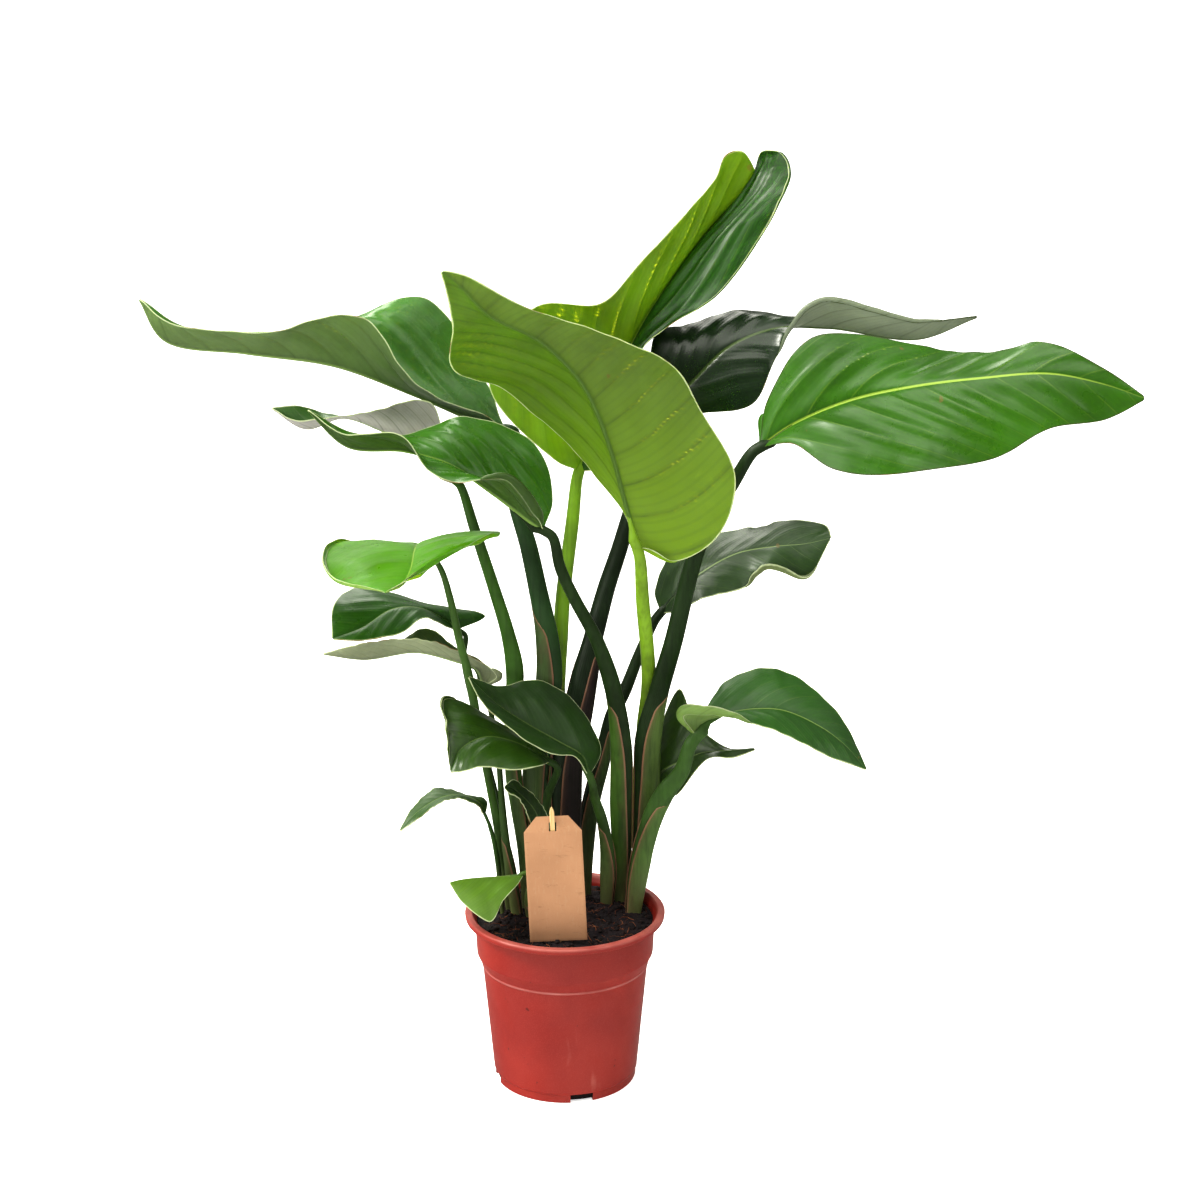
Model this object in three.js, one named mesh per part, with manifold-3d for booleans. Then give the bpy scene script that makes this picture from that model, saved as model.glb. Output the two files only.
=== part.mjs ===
// A young potted white bird of paradise: broad paddle leaves on long sheathed stalks, standing
// in soil in a nursery pot, with a plain card on a bamboo stick.
//
// Lengths are in mm and +Z is up. The origin is the centre of the pot's flat foot. -Y is the
// front, where the card stands, and +X is to the right of it.
import * as THREE from 'three';
import { mergeVertices } from 'three/addons/utils/BufferGeometryUtils.js';
import Module from 'manifold-3d';

const wasm = await Module();
wasm.setup();

// Driving dimensions

const CLEARANCE = 0.3;

const POT = {
  height: 178,
  footRadius: 71,
  footHeight: 9,
  stepRadius: 72.3,
  shoulderRadius: 83,
  shoulderHeight: 124,
  beadProud: 0.9,
  collarRadius: 88.3,
  collarHeight: 136,
  neckRadius: 89.8,
  neckHeight: 168,
  lipRadius: 100,
  lipDrop: 6,
  lipRound: 1.2,
  lipInnerRadius: 93,
  wall: 2,
  floor: 2.5,
  segments: 36,
};

// Drain openings in the foot: four round the wall, the first one a little right of the front
const DRAIN = { count: 4, firstAngle: -76, width: 23, height: 9, reachIn: 12, holeRadius: 5, holeAt: 48 };

const SOIL = {
  height: 168,
  lump: 3,
  lumpRings: [24, 48, 70],
  rootDepth: 32,
};

const CARD = {
  width: 56,
  panelHeight: 114,
  flapHeight: 15,
  flapTopWidth: 31,
  flapLean: 25,
  thickness: 0.8,
  slotWidth: 7,
  slotHeight: 8.5,
  slotFromFold: 0.4,
  foldCentre: [-10.5, -65, 286.5],
  tilt: 2.7,
};

const STICK = { width: 5, thickness: 1.8, topAboveFold: 25, length: 190, behindCard: 0.5 };

const STALK = { sides: 8, lead: 12, gap: 0.8, trim: 0.9 };

const BLADE = {
  thickness: 1.1,
  ribDepth: 2.4,
  ribDepthAtTip: 0.6,
  baseHalfWidth: 3,
  tipHalfWidth: 1.6,
};

// Columns across half a blade, from the rib at 0 to the margin at 1
const WIDE_COLUMNS = [0.1, 0.38, 0.7, 1];
const NARROW_COLUMNS = [0.16, 0.58, 1];
const NARROW_ROWS = 12;

const GREEN = {
  bright: { upper: 0x6fa326, stalk: 0x84a838 },
  glossy: { upper: 0x3f8a2c, stalk: 0x33602f },
  mid: { upper: 0x3f7f33, stalk: 0x2f5630 },
  dark: { upper: 0x23512a, stalk: 0x27482c },
  grey: { upper: 0x7d8b6d, stalk: 0x55803a },
};

// Each leaf's blade hangs on three curves that leave its base and meet at its tip: the rib and
// the two margins, named as seen on the upper side with the tip away. bow lifts each half of
// the blade between rib and margin, as a share of its width, and wave ripples the margins.
// Each row of a stalk is a point from the soil up, then half its width and half its depth.
const LEAVES = {
  a: {
    green: 'bright', rows: 16, bow: 0.1, wave: [2.5, 3],
    base: [70, -25, 560], tip: [-105, -130, 840],
    rib: [[65, -25, 580], [45, -35, 650], [20, -50, 720], [-20, -75, 765], [-65, -105, 795]],
    left: [[105, -25, 545], [160, -10, 620], [130, -15, 700], [75, -45, 750], [-30, -90, 798]],
    right: [[55, -10, 595], [5, 5, 650], [-50, -10, 706], [-99, -45, 731], [-99, -100, 782]],
    stalk: [[50, 58, 169, 8, 5], [58, 60, 215, 8.5, 5], [72, 60, 270, 9, 5], [80, 48, 360, 8, 5.5], [83, 44, 395, 7.5, 5.5],
      [82, 30, 430, 7, 6], [76, 0, 500, 6.5, 6]],
  },
  b: {
    green: 'glossy', rows: 16, bow: 0.08, wave: [3, 4],
    base: [190, 10, 650], tip: [540, -35, 705],
    rib: [[218, 10, 670], [270, 5, 694], [331, 0, 709], [393, -10, 719], [454, -20, 725]],
    left: [[194, 20, 691], [236, 35, 748], [344, 35, 742], [394, 20, 735], [447, 0, 752]],
    right: [[215, -15, 658], [254, -45, 639], [332, -50, 639], [400, -45, 650], [453, -40, 677]],
    stalk: [[68, 28, 168, 8.5, 5], [78, 38, 224, 10.5, 5], [82, 40, 290, 13, 5], [83, 34, 350, 14, 5],
      [94, 30, 401, 10, 6], [106, 27, 446, 9, 7], [132, 20, 554, 8, 7], [164, 14, 615, 6.5, 6]],
  },
  c: {
    green: 'glossy', rows: 16, bow: 0.1, wave: [2, 4],
    base: [-20, -20, 575], tip: [-235, -45, 695],
    rib: [[-34, -20, 585], [-63, -25, 609], [-105, -30, 640], [-150, -35, 655], [-200, -40, 660]],
    left: [[-25, -45, 595], [-50, -60, 630], [-100, -70, 635], [-145, -60, 675], [-200, -55, 675]],
    right: [[-10, 5, 600], [-30, 26, 650], [-90, 22, 675], [-155, 2, 660], [-200, -18, 670]],
    stalk: [[56, 43, 167, 7, 5], [57, 42, 200, 8.5, 5], [56, 36, 270, 11.5, 5], [56, 26, 342, 11.5, 5.5],
      [49, 16, 399, 9, 6], [32, 4, 458, 6.5, 6], [11, -6, 502, 6, 5.5], [-3, -14, 536, 5.5, 5]],
  },
  d: {
    green: 'glossy', rows: 12, bow: 0.08, wave: [1.5, 3],
    base: [130, 0, 362], tip: [292, -36, 340],
    rib: [[138, 2, 374], [164, 4, 384], [210, 0, 388], [246, -10, 376], [272, -22, 360]],
    left: [[142, 24, 386], [162, 40, 406], [212, 36, 418], [256, 16, 394], [284, -10, 358]],
    right: [[116, -16, 388], [156, -24, 388], [204, -36, 380], [242, -40, 360], [272, -40, 348]],
    stalk: [[69, 13, 172, 8, 4.5], [73, 18, 205, 10.5, 5], [80, 18, 243, 10.5, 5], [88, 16, 272, 11, 5],
      [100, 12, 298, 10, 5], [115, 6, 321, 8, 4.5]],
  },
  e: {
    green: 'mid', rows: 12, bow: 0.06, wave: [3, 3],
    base: [96, 56, 472], tip: [260, 50, 548],
    rib: [[106, 56, 486], [130, 56, 508], [168, 58, 530], [206, 56, 538], [236, 52, 542]],
    left: [[90, 76, 488], [104, 90, 520], [179, 96, 546], [211, 84, 556], [257, 64, 557]],
    right: [[112, 44, 476], [138, 38, 490], [176, 34, 504], [200, 34, 521], [238, 38, 514]],
    stalk: [[18, 62, 166, 8, 5], [20, 62, 216, 9, 5.5], [26, 62, 267, 9, 6], [36, 62, 310, 9, 6],
      [47, 60, 361, 7.5, 6], [60, 58, 389, 6.5, 6], [75, 56, 430, 5.5, 5]],
  },
  f: {
    green: 'dark', rows: 16, bow: 0.08, wave: [3, 4],
    base: [-60, 60, 655], tip: [-395, 5, 790],
    rib: [[-90, 60, 665], [-145, 55, 690], [-220, 45, 720], [-300, 30, 735], [-374, 10, 751]],
    left: [[-83, 45, 676], [-135, 20, 701], [-185, 10, 771], [-272, 0, 763], [-362, -5, 768]],
    right: [[-65, 80, 670], [-80, 105, 698], [-136, 100, 775], [-245, 70, 750], [-357, 30, 761]],
    stalk: [[-30, 36, 170, 10, 6], [-33, 38, 226, 13, 7], [-31, 38, 290, 13, 7], [-24, 36, 355, 14, 7],
      [-15, 36, 406, 14, 7], [-17, 38, 452, 12, 7], [-26, 42, 498, 9, 8], [-35, 46, 541, 8.5, 8],
      [-50, 54, 596, 7, 7]],
  },
  g: {
    green: 'bright', rows: 16, bow: 0.08, wave: [3, 3],
    base: [15, 60, 615], tip: [190, 125, 885],
    rib: [[20, 60, 635], [40, 68, 680], [61, 80, 727], [84, 93, 766], [116, 106, 811], [159, 120, 860]],
    left: [[-10, 40, 630], [-71, 42, 703], [6, 54, 773], [67, 68, 808], [119, 88, 859], [162, 110, 916]],
    right: [[36, 50, 620], [65, 50, 715], [96, 62, 752], [147, 74, 785], [203, 92, 861], [206, 110, 918]],
    stalk: [[-10, 60, 170, 8, 5], [-14, 60, 271, 9, 6], [-9, 60, 357, 8.5, 6], [-5, 60, 419, 7.5, 7],
      [-2, 60, 482, 7.5, 7], [8, 60, 564, 6.5, 6.5]],
  },
  h: {
    green: 'dark', rows: 16, bow: 0.08, wave: [2, 3],
    base: [85, 70, 665], tip: [395, 55, 765],
    rib: [[121, 70, 696], [160, 70, 734], [205, 70, 752], [255, 65, 753], [340, 60, 743]],
    left: [[90, 85, 745], [121, 100, 750], [174, 100, 764], [250, 75, 760], [340, 65, 754]],
    right: [[135, 60, 671], [182, 50, 682], [205, 50, 731], [242, 45, 779], [338, 50, 762]],
    stalk: [[1, 40, 170, 12, 7], [1, 40, 225, 15, 8], [1, 42, 278, 16, 8], [3, 44, 324, 16, 8],
      [12, 48, 365, 15.5, 8], [21, 52, 412, 13.5, 8], [29, 56, 447, 10, 8], [41, 60, 493, 9, 8],
      [57, 64, 543, 8, 8], [74, 68, 612, 6.5, 6.5]],
  },
  i: {
    green: 'grey', rows: 12, bow: 0.06, wave: [2, 3],
    base: [-100, 35, 605], tip: [-275, 10, 685],
    rib: [[-105, 30, 620], [-130, 30, 640], [-170, 25, 660], [-210, 20, 675], [-245, 15, 665]],
    left: [[-110, 24, 620], [-125, 14, 690], [-165, 8, 688], [-205, 6, 680], [-250, 5, 675]],
    right: [[-120, 45, 610], [-140, 55, 630], [-174, 50, 657], [-215, 40, 670], [-250, 25, 685]],
    stalk: [[-37, 22, 173, 7, 4.5], [-41, 24, 232, 7, 5], [-47, 26, 279, 8, 5], [-51, 28, 310, 8.5, 5.5],
      [-51, 30, 367, 9, 6], [-49, 31, 419, 9, 6], [-55, 32, 455, 7, 6], [-69, 33, 504, 6, 6],
      [-88, 34, 566, 5, 5]],
  },
  j: {
    green: 'bright', rows: 11, bow: 0.08, wave: [2, 2],
    base: [-136, -4, 560], tip: [-156, -176, 558],
    rib: [[-138, -24, 562], [-138, -70, 566], [-138, -120, 562], [-144, -156, 558]],
    left: [[-118, -4, 562], [-62, -16, 574], [-76, -64, 576], [-124, -124, 564]],
    right: [[-160, -4, 556], [-208, -16, 560], [-220, -70, 562], [-202, -130, 554]],
    stalk: [[-56, 24, 174, 5, 4], [-62, 23, 221, 5, 4], [-69, 20, 271, 4.5, 4], [-76, 17, 314, 4.2, 4],
      [-85, 13, 368, 4.2, 4], [-92, 8, 416, 4.2, 4], [-102, 2, 462, 4, 4], [-109, -2, 500, 3.5, 3.5],
      [-118, -5, 533, 2.8, 2.8]],
  },
  k: {
    green: 'dark', rows: 11, bow: 0.06, wave: [1.5, 2],
    base: [-106, 42, 458], tip: [-220, -30, 470],
    rib: [[-116, 38, 468], [-140, 26, 484], [-166, 9, 488], [-194, -14, 476]],
    left: [[-116, 28, 464], [-134, 10, 480], [-158, -16, 470], [-192, -28, 468]],
    right: [[-78, 52, 468], [-132, 52, 480], [-206, 32, 502], [-222, -4, 494]],
    stalk: [[-54, 40, 173, 4, 4], [-61, 39, 226, 4, 4], [-69, 38, 280, 3.6, 3.6], [-81, 36, 334, 3.4, 3.4],
      [-92, 40, 386, 3.2, 3.2], [-100, 46, 428, 3, 3]],
  },
  l: {
    green: 'grey', rows: 11, bow: 0.06, wave: [1.5, 2],
    base: [-80, 24, 406], tip: [-232, -10, 448],
    rib: [[-86, 26, 422], [-108, 28, 430], [-146, 24, 440], [-194, 6, 438]],
    left: [[-66, 16, 418], [-110, 16, 448], [-144, 4, 458], [-194, -12, 460]],
    right: [[-80, 33, 426], [-108, 38, 440], [-136, 40, 459], [-177, 16, 444]],
    stalk: [[-49, 8, 173, 6, 4.5], [-55, 8, 219, 5.8, 4.5], [-60, 9, 259, 4, 3.5], [-63, 12, 300, 3, 3],
      [-66, 16, 341, 2.8, 2.8], [-73, 21, 381, 2.6, 2.6]],
  },
  m: {
    green: 'dark', rows: 11, bow: 0.08, wave: [1.5, 2],
    base: [24, -12, 326], tip: [-90, -40, 434],
    rib: [[18, -12, 344], [-4, -16, 360], [-34, -22, 380], [-64, -30, 404]],
    left: [[10, -24, 348], [-12, -40, 358], [-50, -52, 384], [-78, -50, 414]],
    right: [[36, 8, 344], [18, 22, 378], [-24, 20, 412], [-62, -4, 414]],
    stalk: [[42, 34, 174, 7, 5], [43, 30, 205, 8.5, 5], [42, 24, 236, 7.5, 5], [37, 14, 268, 5.5, 4.5],
      [29, 0, 299, 4.5, 4]],
  },
  n: {
    green: 'dark', rows: 11, bow: 0.08, wave: [1.5, 2],
    base: [-16, -12, 340], tip: [-108, -60, 346],
    rib: [[-26, -14, 348], [-48, -20, 362], [-76, -28, 370], [-100, -44, 362]],
    left: [[-22, -32, 342], [-46, -48, 344], [-76, -60, 350], [-96, -64, 348]],
    right: [[-20, 0, 346], [-54, 4, 366], [-116, -8, 402], [-112, -32, 380]],
    stalk: [[-20, 24, 172, 5, 4], [-18, 17, 234, 5, 4], [-17, 10, 293, 4.2, 4]],
  },
  o: {
    green: 'glossy', rows: 10, bow: 0.06, wave: [1, 2],
    base: [-80, 12, 276], tip: [-160, -30, 274],
    rib: [[-84, 12, 286], [-100, 8, 296], [-120, -2, 298], [-142, -18, 290]],
    left: [[-86, 4, 286], [-104, -4, 298], [-122, -16, 296], [-144, -28, 284]],
    right: [[-78, 22, 286], [-102, 22, 292], [-128, 12, 302], [-148, -10, 292]],
    stalk: [[-64, 15, 179, 2.6, 2.6], [-67, 14, 220, 2.6, 2.6], [-71, 13, 247, 2.4, 2.4],
      [-75, 12, 263, 2, 2]],
  },
  p: {
    green: 'glossy', rows: 10, bow: 0.06, wave: [1, 2],
    base: [-42, -10, 220], tip: [-112, -42, 224],
    rib: [[-48, -12, 220], [-64, -16, 220], [-82, -24, 222], [-100, -34, 224]],
    left: [[-46, -22, 214], [-60, -44, 206], [-72, -64, 192], [-98, -56, 208]],
    right: [[-48, -4, 214], [-62, 0, 208], [-80, 0, 204], [-98, -20, 214]],
    stalk: [[-35, -2, 169, 4, 3], [-37, -5, 194, 3.4, 3]],
  },
  q: {
    green: 'dark', rows: 10, bow: 0.06, wave: [1, 2],
    base: [-18, -4, 258], tip: [-58, -22, 316],
    rib: [[-24, -6, 272], [-30, -10, 288], [-42, -14, 304], [-52, -18, 314]],
    left: [[-32, -12, 270], [-36, -20, 288], [-44, -26, 304], [-54, -26, 312]],
    right: [[-16, 1, 276], [-24, 0, 290], [-38, -4, 308], [-50, -12, 320]],
    stalk: [[-15, -8, 175, 4, 3], [-16, -6, 222, 3.5, 3]],
  },
  r: {
    green: 'dark', rows: 10, bow: 0.06, wave: [1, 2],
    base: [92, 52, 298], tip: [188, 22, 340],
    rib: [[100, 50, 308], [116, 46, 318], [138, 38, 330], [164, 28, 336]],
    left: [[92, 68, 328], [114, 68, 387], [132, 52, 354], [164, 36, 336]],
    right: [[100, 44, 290], [111, 32, 287], [142, 26, 328], [168, 24, 330]],
    stalk: [[70, 40, 166, 3.6, 3.4], [76, 48, 188, 4, 3.6], [84, 56, 214, 4, 3.6], [90, 57, 252, 3.8, 3.6]],
  },
};

// Vectors and curves

const vec = (p) => new THREE.Vector3(p[0], p[1], p[2]);
const curveThrough = (points) => new THREE.CatmullRomCurve3(points, false, 'centripetal');
const directionTo = (from, to) => to.clone().sub(from).normalize();

function meshGeometry(positions, faces) {
  const geometry = new THREE.BufferGeometry();
  geometry.setAttribute('position', new THREE.Float32BufferAttribute(positions, 3));
  geometry.setIndex(faces);
  return geometry;
}

// Solids, for joining and cutting

function solidOf(geometry) {
  const bare = geometry.index ? geometry.clone() : geometry;
  bare.deleteAttribute('normal');
  bare.deleteAttribute('uv');
  const merged = mergeVertices(bare, 1e-4);
  return new wasm.Manifold(new wasm.Mesh({
    numProp: 3,
    vertProperties: new Float32Array(merged.attributes.position.array),
    triVerts: new Uint32Array(merged.index.array),
  }));
}

function geometryOf(solid) {
  const { numProp, vertProperties, triVerts } = solid.getMesh();
  const positions = [];
  for (let k = 0; k < vertProperties.length; k += numProp) {
    positions.push(vertProperties[k], vertProperties[k + 1], vertProperties[k + 2]);
  }
  return meshGeometry(positions, Array.from(triVerts));
}

// Blades

function bladeCurves(leaf) {
  const base = vec(leaf.base);
  const tip = vec(leaf.tip);
  const rib = leaf.rib.map(vec);
  const margin = (points) => {
    const inner = points.map(vec);
    const last = inner.length - 1;
    const start = base.clone().addScaledVector(directionTo(rib[0], inner[0]), BLADE.baseHalfWidth);
    const end = tip.clone().addScaledVector(directionTo(rib[last], inner[last]), BLADE.tipHalfWidth);
    return curveThrough([start, ...inner, end]);
  };
  return {
    rib: curveThrough([base, ...rib, tip]),
    left: margin(leaf.left),
    right: margin(leaf.right),
  };
}

// The middle surface of a blade: along runs 0 to 1 from base to tip, and across runs from -1
// at the left margin, through 0 at the rib, to 1 at the right margin
function bladePoint(leaf, curves, along, across) {
  const onRib = curves.rib.getPoint(along);
  if (across === 0) {
    return onRib;
  }
  const isLeft = across < 0;
  const share = Math.abs(across);
  const chord = (isLeft ? curves.left : curves.right).getPoint(along).sub(onRib);
  const forward = curves.rib.getTangent(along);
  const up = isLeft ? forward.cross(chord) : chord.clone().cross(forward);
  const [waveHeight, waveCount] = leaf.wave;
  const phase = isLeft ? 0 : 1.9;
  const ripple = waveHeight * share * share * Math.sin(Math.PI * along)
    * Math.sin(2 * Math.PI * waveCount * along + phase);
  const arch = leaf.bow * chord.length() * 4 * share * (1 - share);
  return onRib.addScaledVector(chord, share).addScaledVector(up.normalize(), arch + ripple);
}

// The blade as a shell that is closed all round. With extra, it is that much fatter.
function bladeGeometry(leaf, extra = 0) {
  const curves = bladeCurves(leaf);
  const half = leaf.rows > NARROW_ROWS ? WIDE_COLUMNS : NARROW_COLUMNS;
  const columns = [...half.map((share) => -share).reverse(), 0, ...half];
  const rows = leaf.rows;
  const grid = [];
  for (let i = 0; i <= rows; i += 1) {
    grid.push(columns.map((across) => bladePoint(leaf, curves, i / rows, across)));
  }

  const last = columns.length - 1;
  const normalAt = (i, j) => {
    const along = grid[Math.min(i + 1, rows)][j].clone().sub(grid[Math.max(i - 1, 0)][j]);
    const acrossStep = grid[i][Math.min(j + 1, last)].clone().sub(grid[i][Math.max(j - 1, 0)]);
    return acrossStep.cross(along).normalize();
  };
  const rowNormal = (i) => {
    const sum = new THREE.Vector3();
    columns.forEach((across, j) => sum.add(normalAt(i, j)));
    return sum.normalize();
  };

  const upper = [];
  const under = [];
  const halfThick = BLADE.thickness / 2 + extra;
  const endStep = curves.rib.getTangent(0).multiplyScalar(-extra);
  for (let i = 0; i <= rows; i += 1) {
    const endNormal = i === 0 || i === rows ? rowNormal(i) : null;
    columns.forEach((across, j) => {
      const normal = endNormal ?? normalAt(i, j);
      const ribHere = THREE.MathUtils.lerp(BLADE.ribDepth, BLADE.ribDepthAtTip, i / rows);
      const depth = halfThick + (across === 0 ? ribHere : 0);
      const middle = grid[i][j].clone();
      if (i === 0) {
        middle.add(endStep).addScaledVector(directionTo(grid[0][0], grid[0][last]), extra * across);
      }
      upper.push(...middle.clone().addScaledVector(normal, halfThick).toArray());
      under.push(...middle.clone().addScaledVector(normal, -depth).toArray());
    });
  }

  const width = columns.length;
  const underStart = (rows + 1) * width;
  const at = (i, j) => i * width + j;
  const faces = [];
  for (let i = 0; i < rows; i += 1) {
    for (let j = 0; j < last; j += 1) {
      const [a, b, c, d] = [at(i, j), at(i, j + 1), at(i + 1, j + 1), at(i + 1, j)];
      faces.push(a, b, c, a, c, d);
      faces.push(underStart + a, underStart + c, underStart + b);
      faces.push(underStart + a, underStart + d, underStart + c);
    }
  }
  const wall = (p, q) => faces.push(p, q, underStart + q, p, underStart + q, underStart + p);
  for (let j = 0; j < last; j += 1) {
    wall(at(0, j + 1), at(0, j));
    wall(at(rows, j), at(rows, j + 1));
  }
  for (let i = 0; i < rows; i += 1) {
    wall(at(i, 0), at(i + 1, 0));
    wall(at(i + 1, last), at(i, last));
  }
  return meshGeometry([...upper, ...under], faces);
}

// Stalks

// A stalk's stations: sunk in the soil at the root, then up its rows, then into line with the
// blade's rib, ending just short of the blade
function stalkStations(leaf) {
  const rows = leaf.stalk.map(([x, y, z, across, through]) => ({ at: vec([x, y, z]), across, through }));
  const [first, second] = rows;
  const down = directionTo(second.at, first.at);
  const root = {
    at: first.at.clone().addScaledVector(down, SOIL.rootDepth),
    across: first.across * 0.8,
    through: first.through * 0.8,
  };
  const forward = bladeCurves(leaf).rib.getTangent(0);
  const top = rows[rows.length - 1];
  const neck = { across: top.across * 0.85, through: top.through * 0.85 };
  const base = vec(leaf.base);
  return [
    root,
    ...rows,
    { ...neck, at: base.clone().addScaledVector(forward, -STALK.lead) },
    { ...neck, at: base.clone().addScaledVector(forward, -STALK.gap) },
  ];
}

function stalkGeometry(leaf, extra = 0) {
  const stations = stalkStations(leaf);
  const path = curveThrough(stations.map((station) => station.at));
  const spans = stations.length - 1;
  const rings = spans + 2;
  const sizeAt = (t, key) => {
    const k = Math.min(Math.floor(t * spans), spans - 1);
    return THREE.MathUtils.lerp(stations[k][key], stations[k + 1][key], t * spans - k) + extra;
  };
  const positions = [];
  const faces = [];
  let side = new THREE.Vector3(1, 0, 0);
  for (let k = 0; k <= rings; k += 1) {
    const t = k / rings;
    const forward = path.getTangent(t);
    side = side.clone().addScaledVector(forward, -side.dot(forward)).normalize();
    const depth = forward.clone().cross(side);
    const centre = path.getPoint(t);
    if (k === 0) {
      centre.addScaledVector(forward, -extra);
    }
    for (let s = 0; s < STALK.sides; s += 1) {
      const angle = (2 * Math.PI * s) / STALK.sides;
      const point = centre.clone()
        .addScaledVector(side, sizeAt(t, 'across') * Math.cos(angle))
        .addScaledVector(depth, sizeAt(t, 'through') * Math.sin(angle));
      positions.push(...point.toArray());
    }
  }
  const at = (k, s) => k * STALK.sides + (s % STALK.sides);
  for (let k = 0; k < rings; k += 1) {
    for (let s = 0; s < STALK.sides; s += 1) {
      faces.push(at(k, s), at(k, s + 1), at(k + 1, s + 1));
      faces.push(at(k, s), at(k + 1, s + 1), at(k + 1, s));
    }
  }
  for (let s = 1; s < STALK.sides - 1; s += 1) {
    faces.push(at(0, 0), at(0, s + 1), at(0, s));
    faces.push(at(rings, 0), at(rings, s), at(rings, s + 1));
  }
  return meshGeometry(positions, faces);
}

// The stalk as it stands, cut back where its end would run into the blade
function trimmedStalk(leaf) {
  const stalk = solidOf(stalkGeometry(leaf)).subtract(solidOf(bladeGeometry(leaf, STALK.trim)));
  const bodies = stalk.decompose();
  bodies.sort((p, q) => q.volume() - p.volume());
  return geometryOf(bodies[0]);
}

// Pot

function potOutline() {
  const p = POT;
  const outer = [
    [0, 0],
    [p.footRadius - 1, 0],
    [p.footRadius, 1],
    [p.footRadius, p.footHeight],
    [p.stepRadius, p.footHeight + 1.3],
    [p.shoulderRadius - 0.3, p.shoulderHeight - 2],
    [p.shoulderRadius + p.beadProud, p.shoulderHeight],
    [p.shoulderRadius + 0.5, p.shoulderHeight + 1.6],
    [p.collarRadius, p.collarHeight],
    [p.neckRadius, p.neckHeight],
    [p.neckRadius + 1.4, p.height - p.lipDrop - 1],
    [p.lipRadius - 0.6, p.height - p.lipDrop],
    [p.lipRadius, p.height - p.lipRound],
    [p.lipRadius - p.lipRound, p.height],
    [p.lipInnerRadius, p.height],
  ];
  const inner = [
    [p.neckRadius - p.wall + 0.8, p.height - p.lipDrop - 1],
    [p.neckRadius - p.wall, p.neckHeight],
    [p.collarRadius - p.wall, p.collarHeight + 0.8],
    [p.shoulderRadius - p.wall, p.shoulderHeight + 0.8],
    [p.stepRadius - p.wall, p.footHeight + 2],
    [p.footRadius - p.wall, p.floor],
    [0, p.floor],
  ];
  return { outer, inner };
}

function latheOf(outline) {
  const points = outline.map(([r, z]) => new THREE.Vector2(r, z));
  return new THREE.LatheGeometry(points, POT.segments).rotateX(Math.PI / 2);
}

function potGeometry() {
  const { outer, inner } = potOutline();
  let pot = solidOf(latheOf([...outer, ...inner]));
  for (let k = 0; k < DRAIN.count; k += 1) {
    const angle = THREE.MathUtils.degToRad(DRAIN.firstAngle + (360 / DRAIN.count) * k);
    const notch = new THREE.BoxGeometry(2 * DRAIN.reachIn, DRAIN.width, 2 * DRAIN.height);
    notch.translate(POT.footRadius, 0, 0).rotateZ(angle);
    const hole = new THREE.CylinderGeometry(DRAIN.holeRadius, DRAIN.holeRadius, 4 * POT.floor, 8);
    hole.rotateX(Math.PI / 2).translate(DRAIN.holeAt, 0, 0).rotateZ(angle + Math.PI / DRAIN.count);
    pot = pot.subtract(solidOf(notch)).subtract(solidOf(hole));
  }
  return geometryOf(pot);
}

// Soil

// The soil's loose top: low lumps that even out towards the pot's wall
function soilTop(radius, angle) {
  const fade = 1 - Math.pow(radius / POT.neckRadius, 4);
  const lumps = Math.sin(3 * angle + radius / 9) + 0.6 * Math.cos(5 * angle - radius / 14);
  return SOIL.height + SOIL.lump * 0.6 * fade * lumps;
}

function soilGeometry() {
  const { inner } = potOutline();
  const wall = inner
    .slice(2, -1)
    .map(([r, z], k, rows) => [r - CLEARANCE, k === rows.length - 1 ? z + CLEARANCE : z])
    .reverse();
  const rings = [...wall, [POT.neckRadius - POT.wall - CLEARANCE - 0.1, SOIL.height - 1]];
  const top = [...SOIL.lumpRings].reverse();
  const positions = [0, 0, POT.floor + CLEARANCE];
  const n = POT.segments;
  const ring = (radius, heightAt) => {
    for (let s = 0; s < n; s += 1) {
      const angle = (2 * Math.PI * s) / n;
      positions.push(radius * Math.cos(angle), radius * Math.sin(angle), heightAt(angle));
    }
  };
  rings.forEach(([r, z]) => ring(r, () => z));
  top.forEach((r) => ring(r, (angle) => soilTop(r, angle)));
  positions.push(0, 0, SOIL.height);
  const crown = positions.length / 3 - 1;
  const ringCount = rings.length + top.length;
  const at = (k, s) => 1 + k * n + (s % n);
  const faces = [];
  for (let s = 0; s < n; s += 1) {
    faces.push(0, at(0, s + 1), at(0, s));
    for (let k = 0; k < ringCount - 1; k += 1) {
      faces.push(at(k, s), at(k, s + 1), at(k + 1, s + 1), at(k, s), at(k + 1, s + 1), at(k + 1, s));
    }
    faces.push(at(ringCount - 1, s), at(ringCount - 1, s + 1), crown);
  }
  let soil = solidOf(meshGeometry(positions, faces));
  Object.values(LEAVES).forEach((leaf) => {
    soil = soil.subtract(solidOf(stalkGeometry(leaf, CLEARANCE)));
  });
  soil = soil.subtract(solidOf(stickGeometry(CLEARANCE)));
  return geometryOf(soil);
}

// Card and stick

// The card hangs on the stick by a slot in its folded flap
function placeCard(geometry) {
  const tilt = THREE.MathUtils.degToRad(CARD.tilt);
  return geometry.rotateY(-tilt).translate(...CARD.foldCentre);
}

function plate(outline, hole) {
  const shape = new THREE.Shape(outline.map(([x, y]) => new THREE.Vector2(x, y)));
  if (hole) {
    shape.holes.push(new THREE.Path(hole.map(([x, y]) => new THREE.Vector2(x, y))));
  }
  const geometry = new THREE.ExtrudeGeometry(shape, { depth: CARD.thickness, bevelEnabled: false });
  return geometry.rotateX(Math.PI / 2);
}

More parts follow.
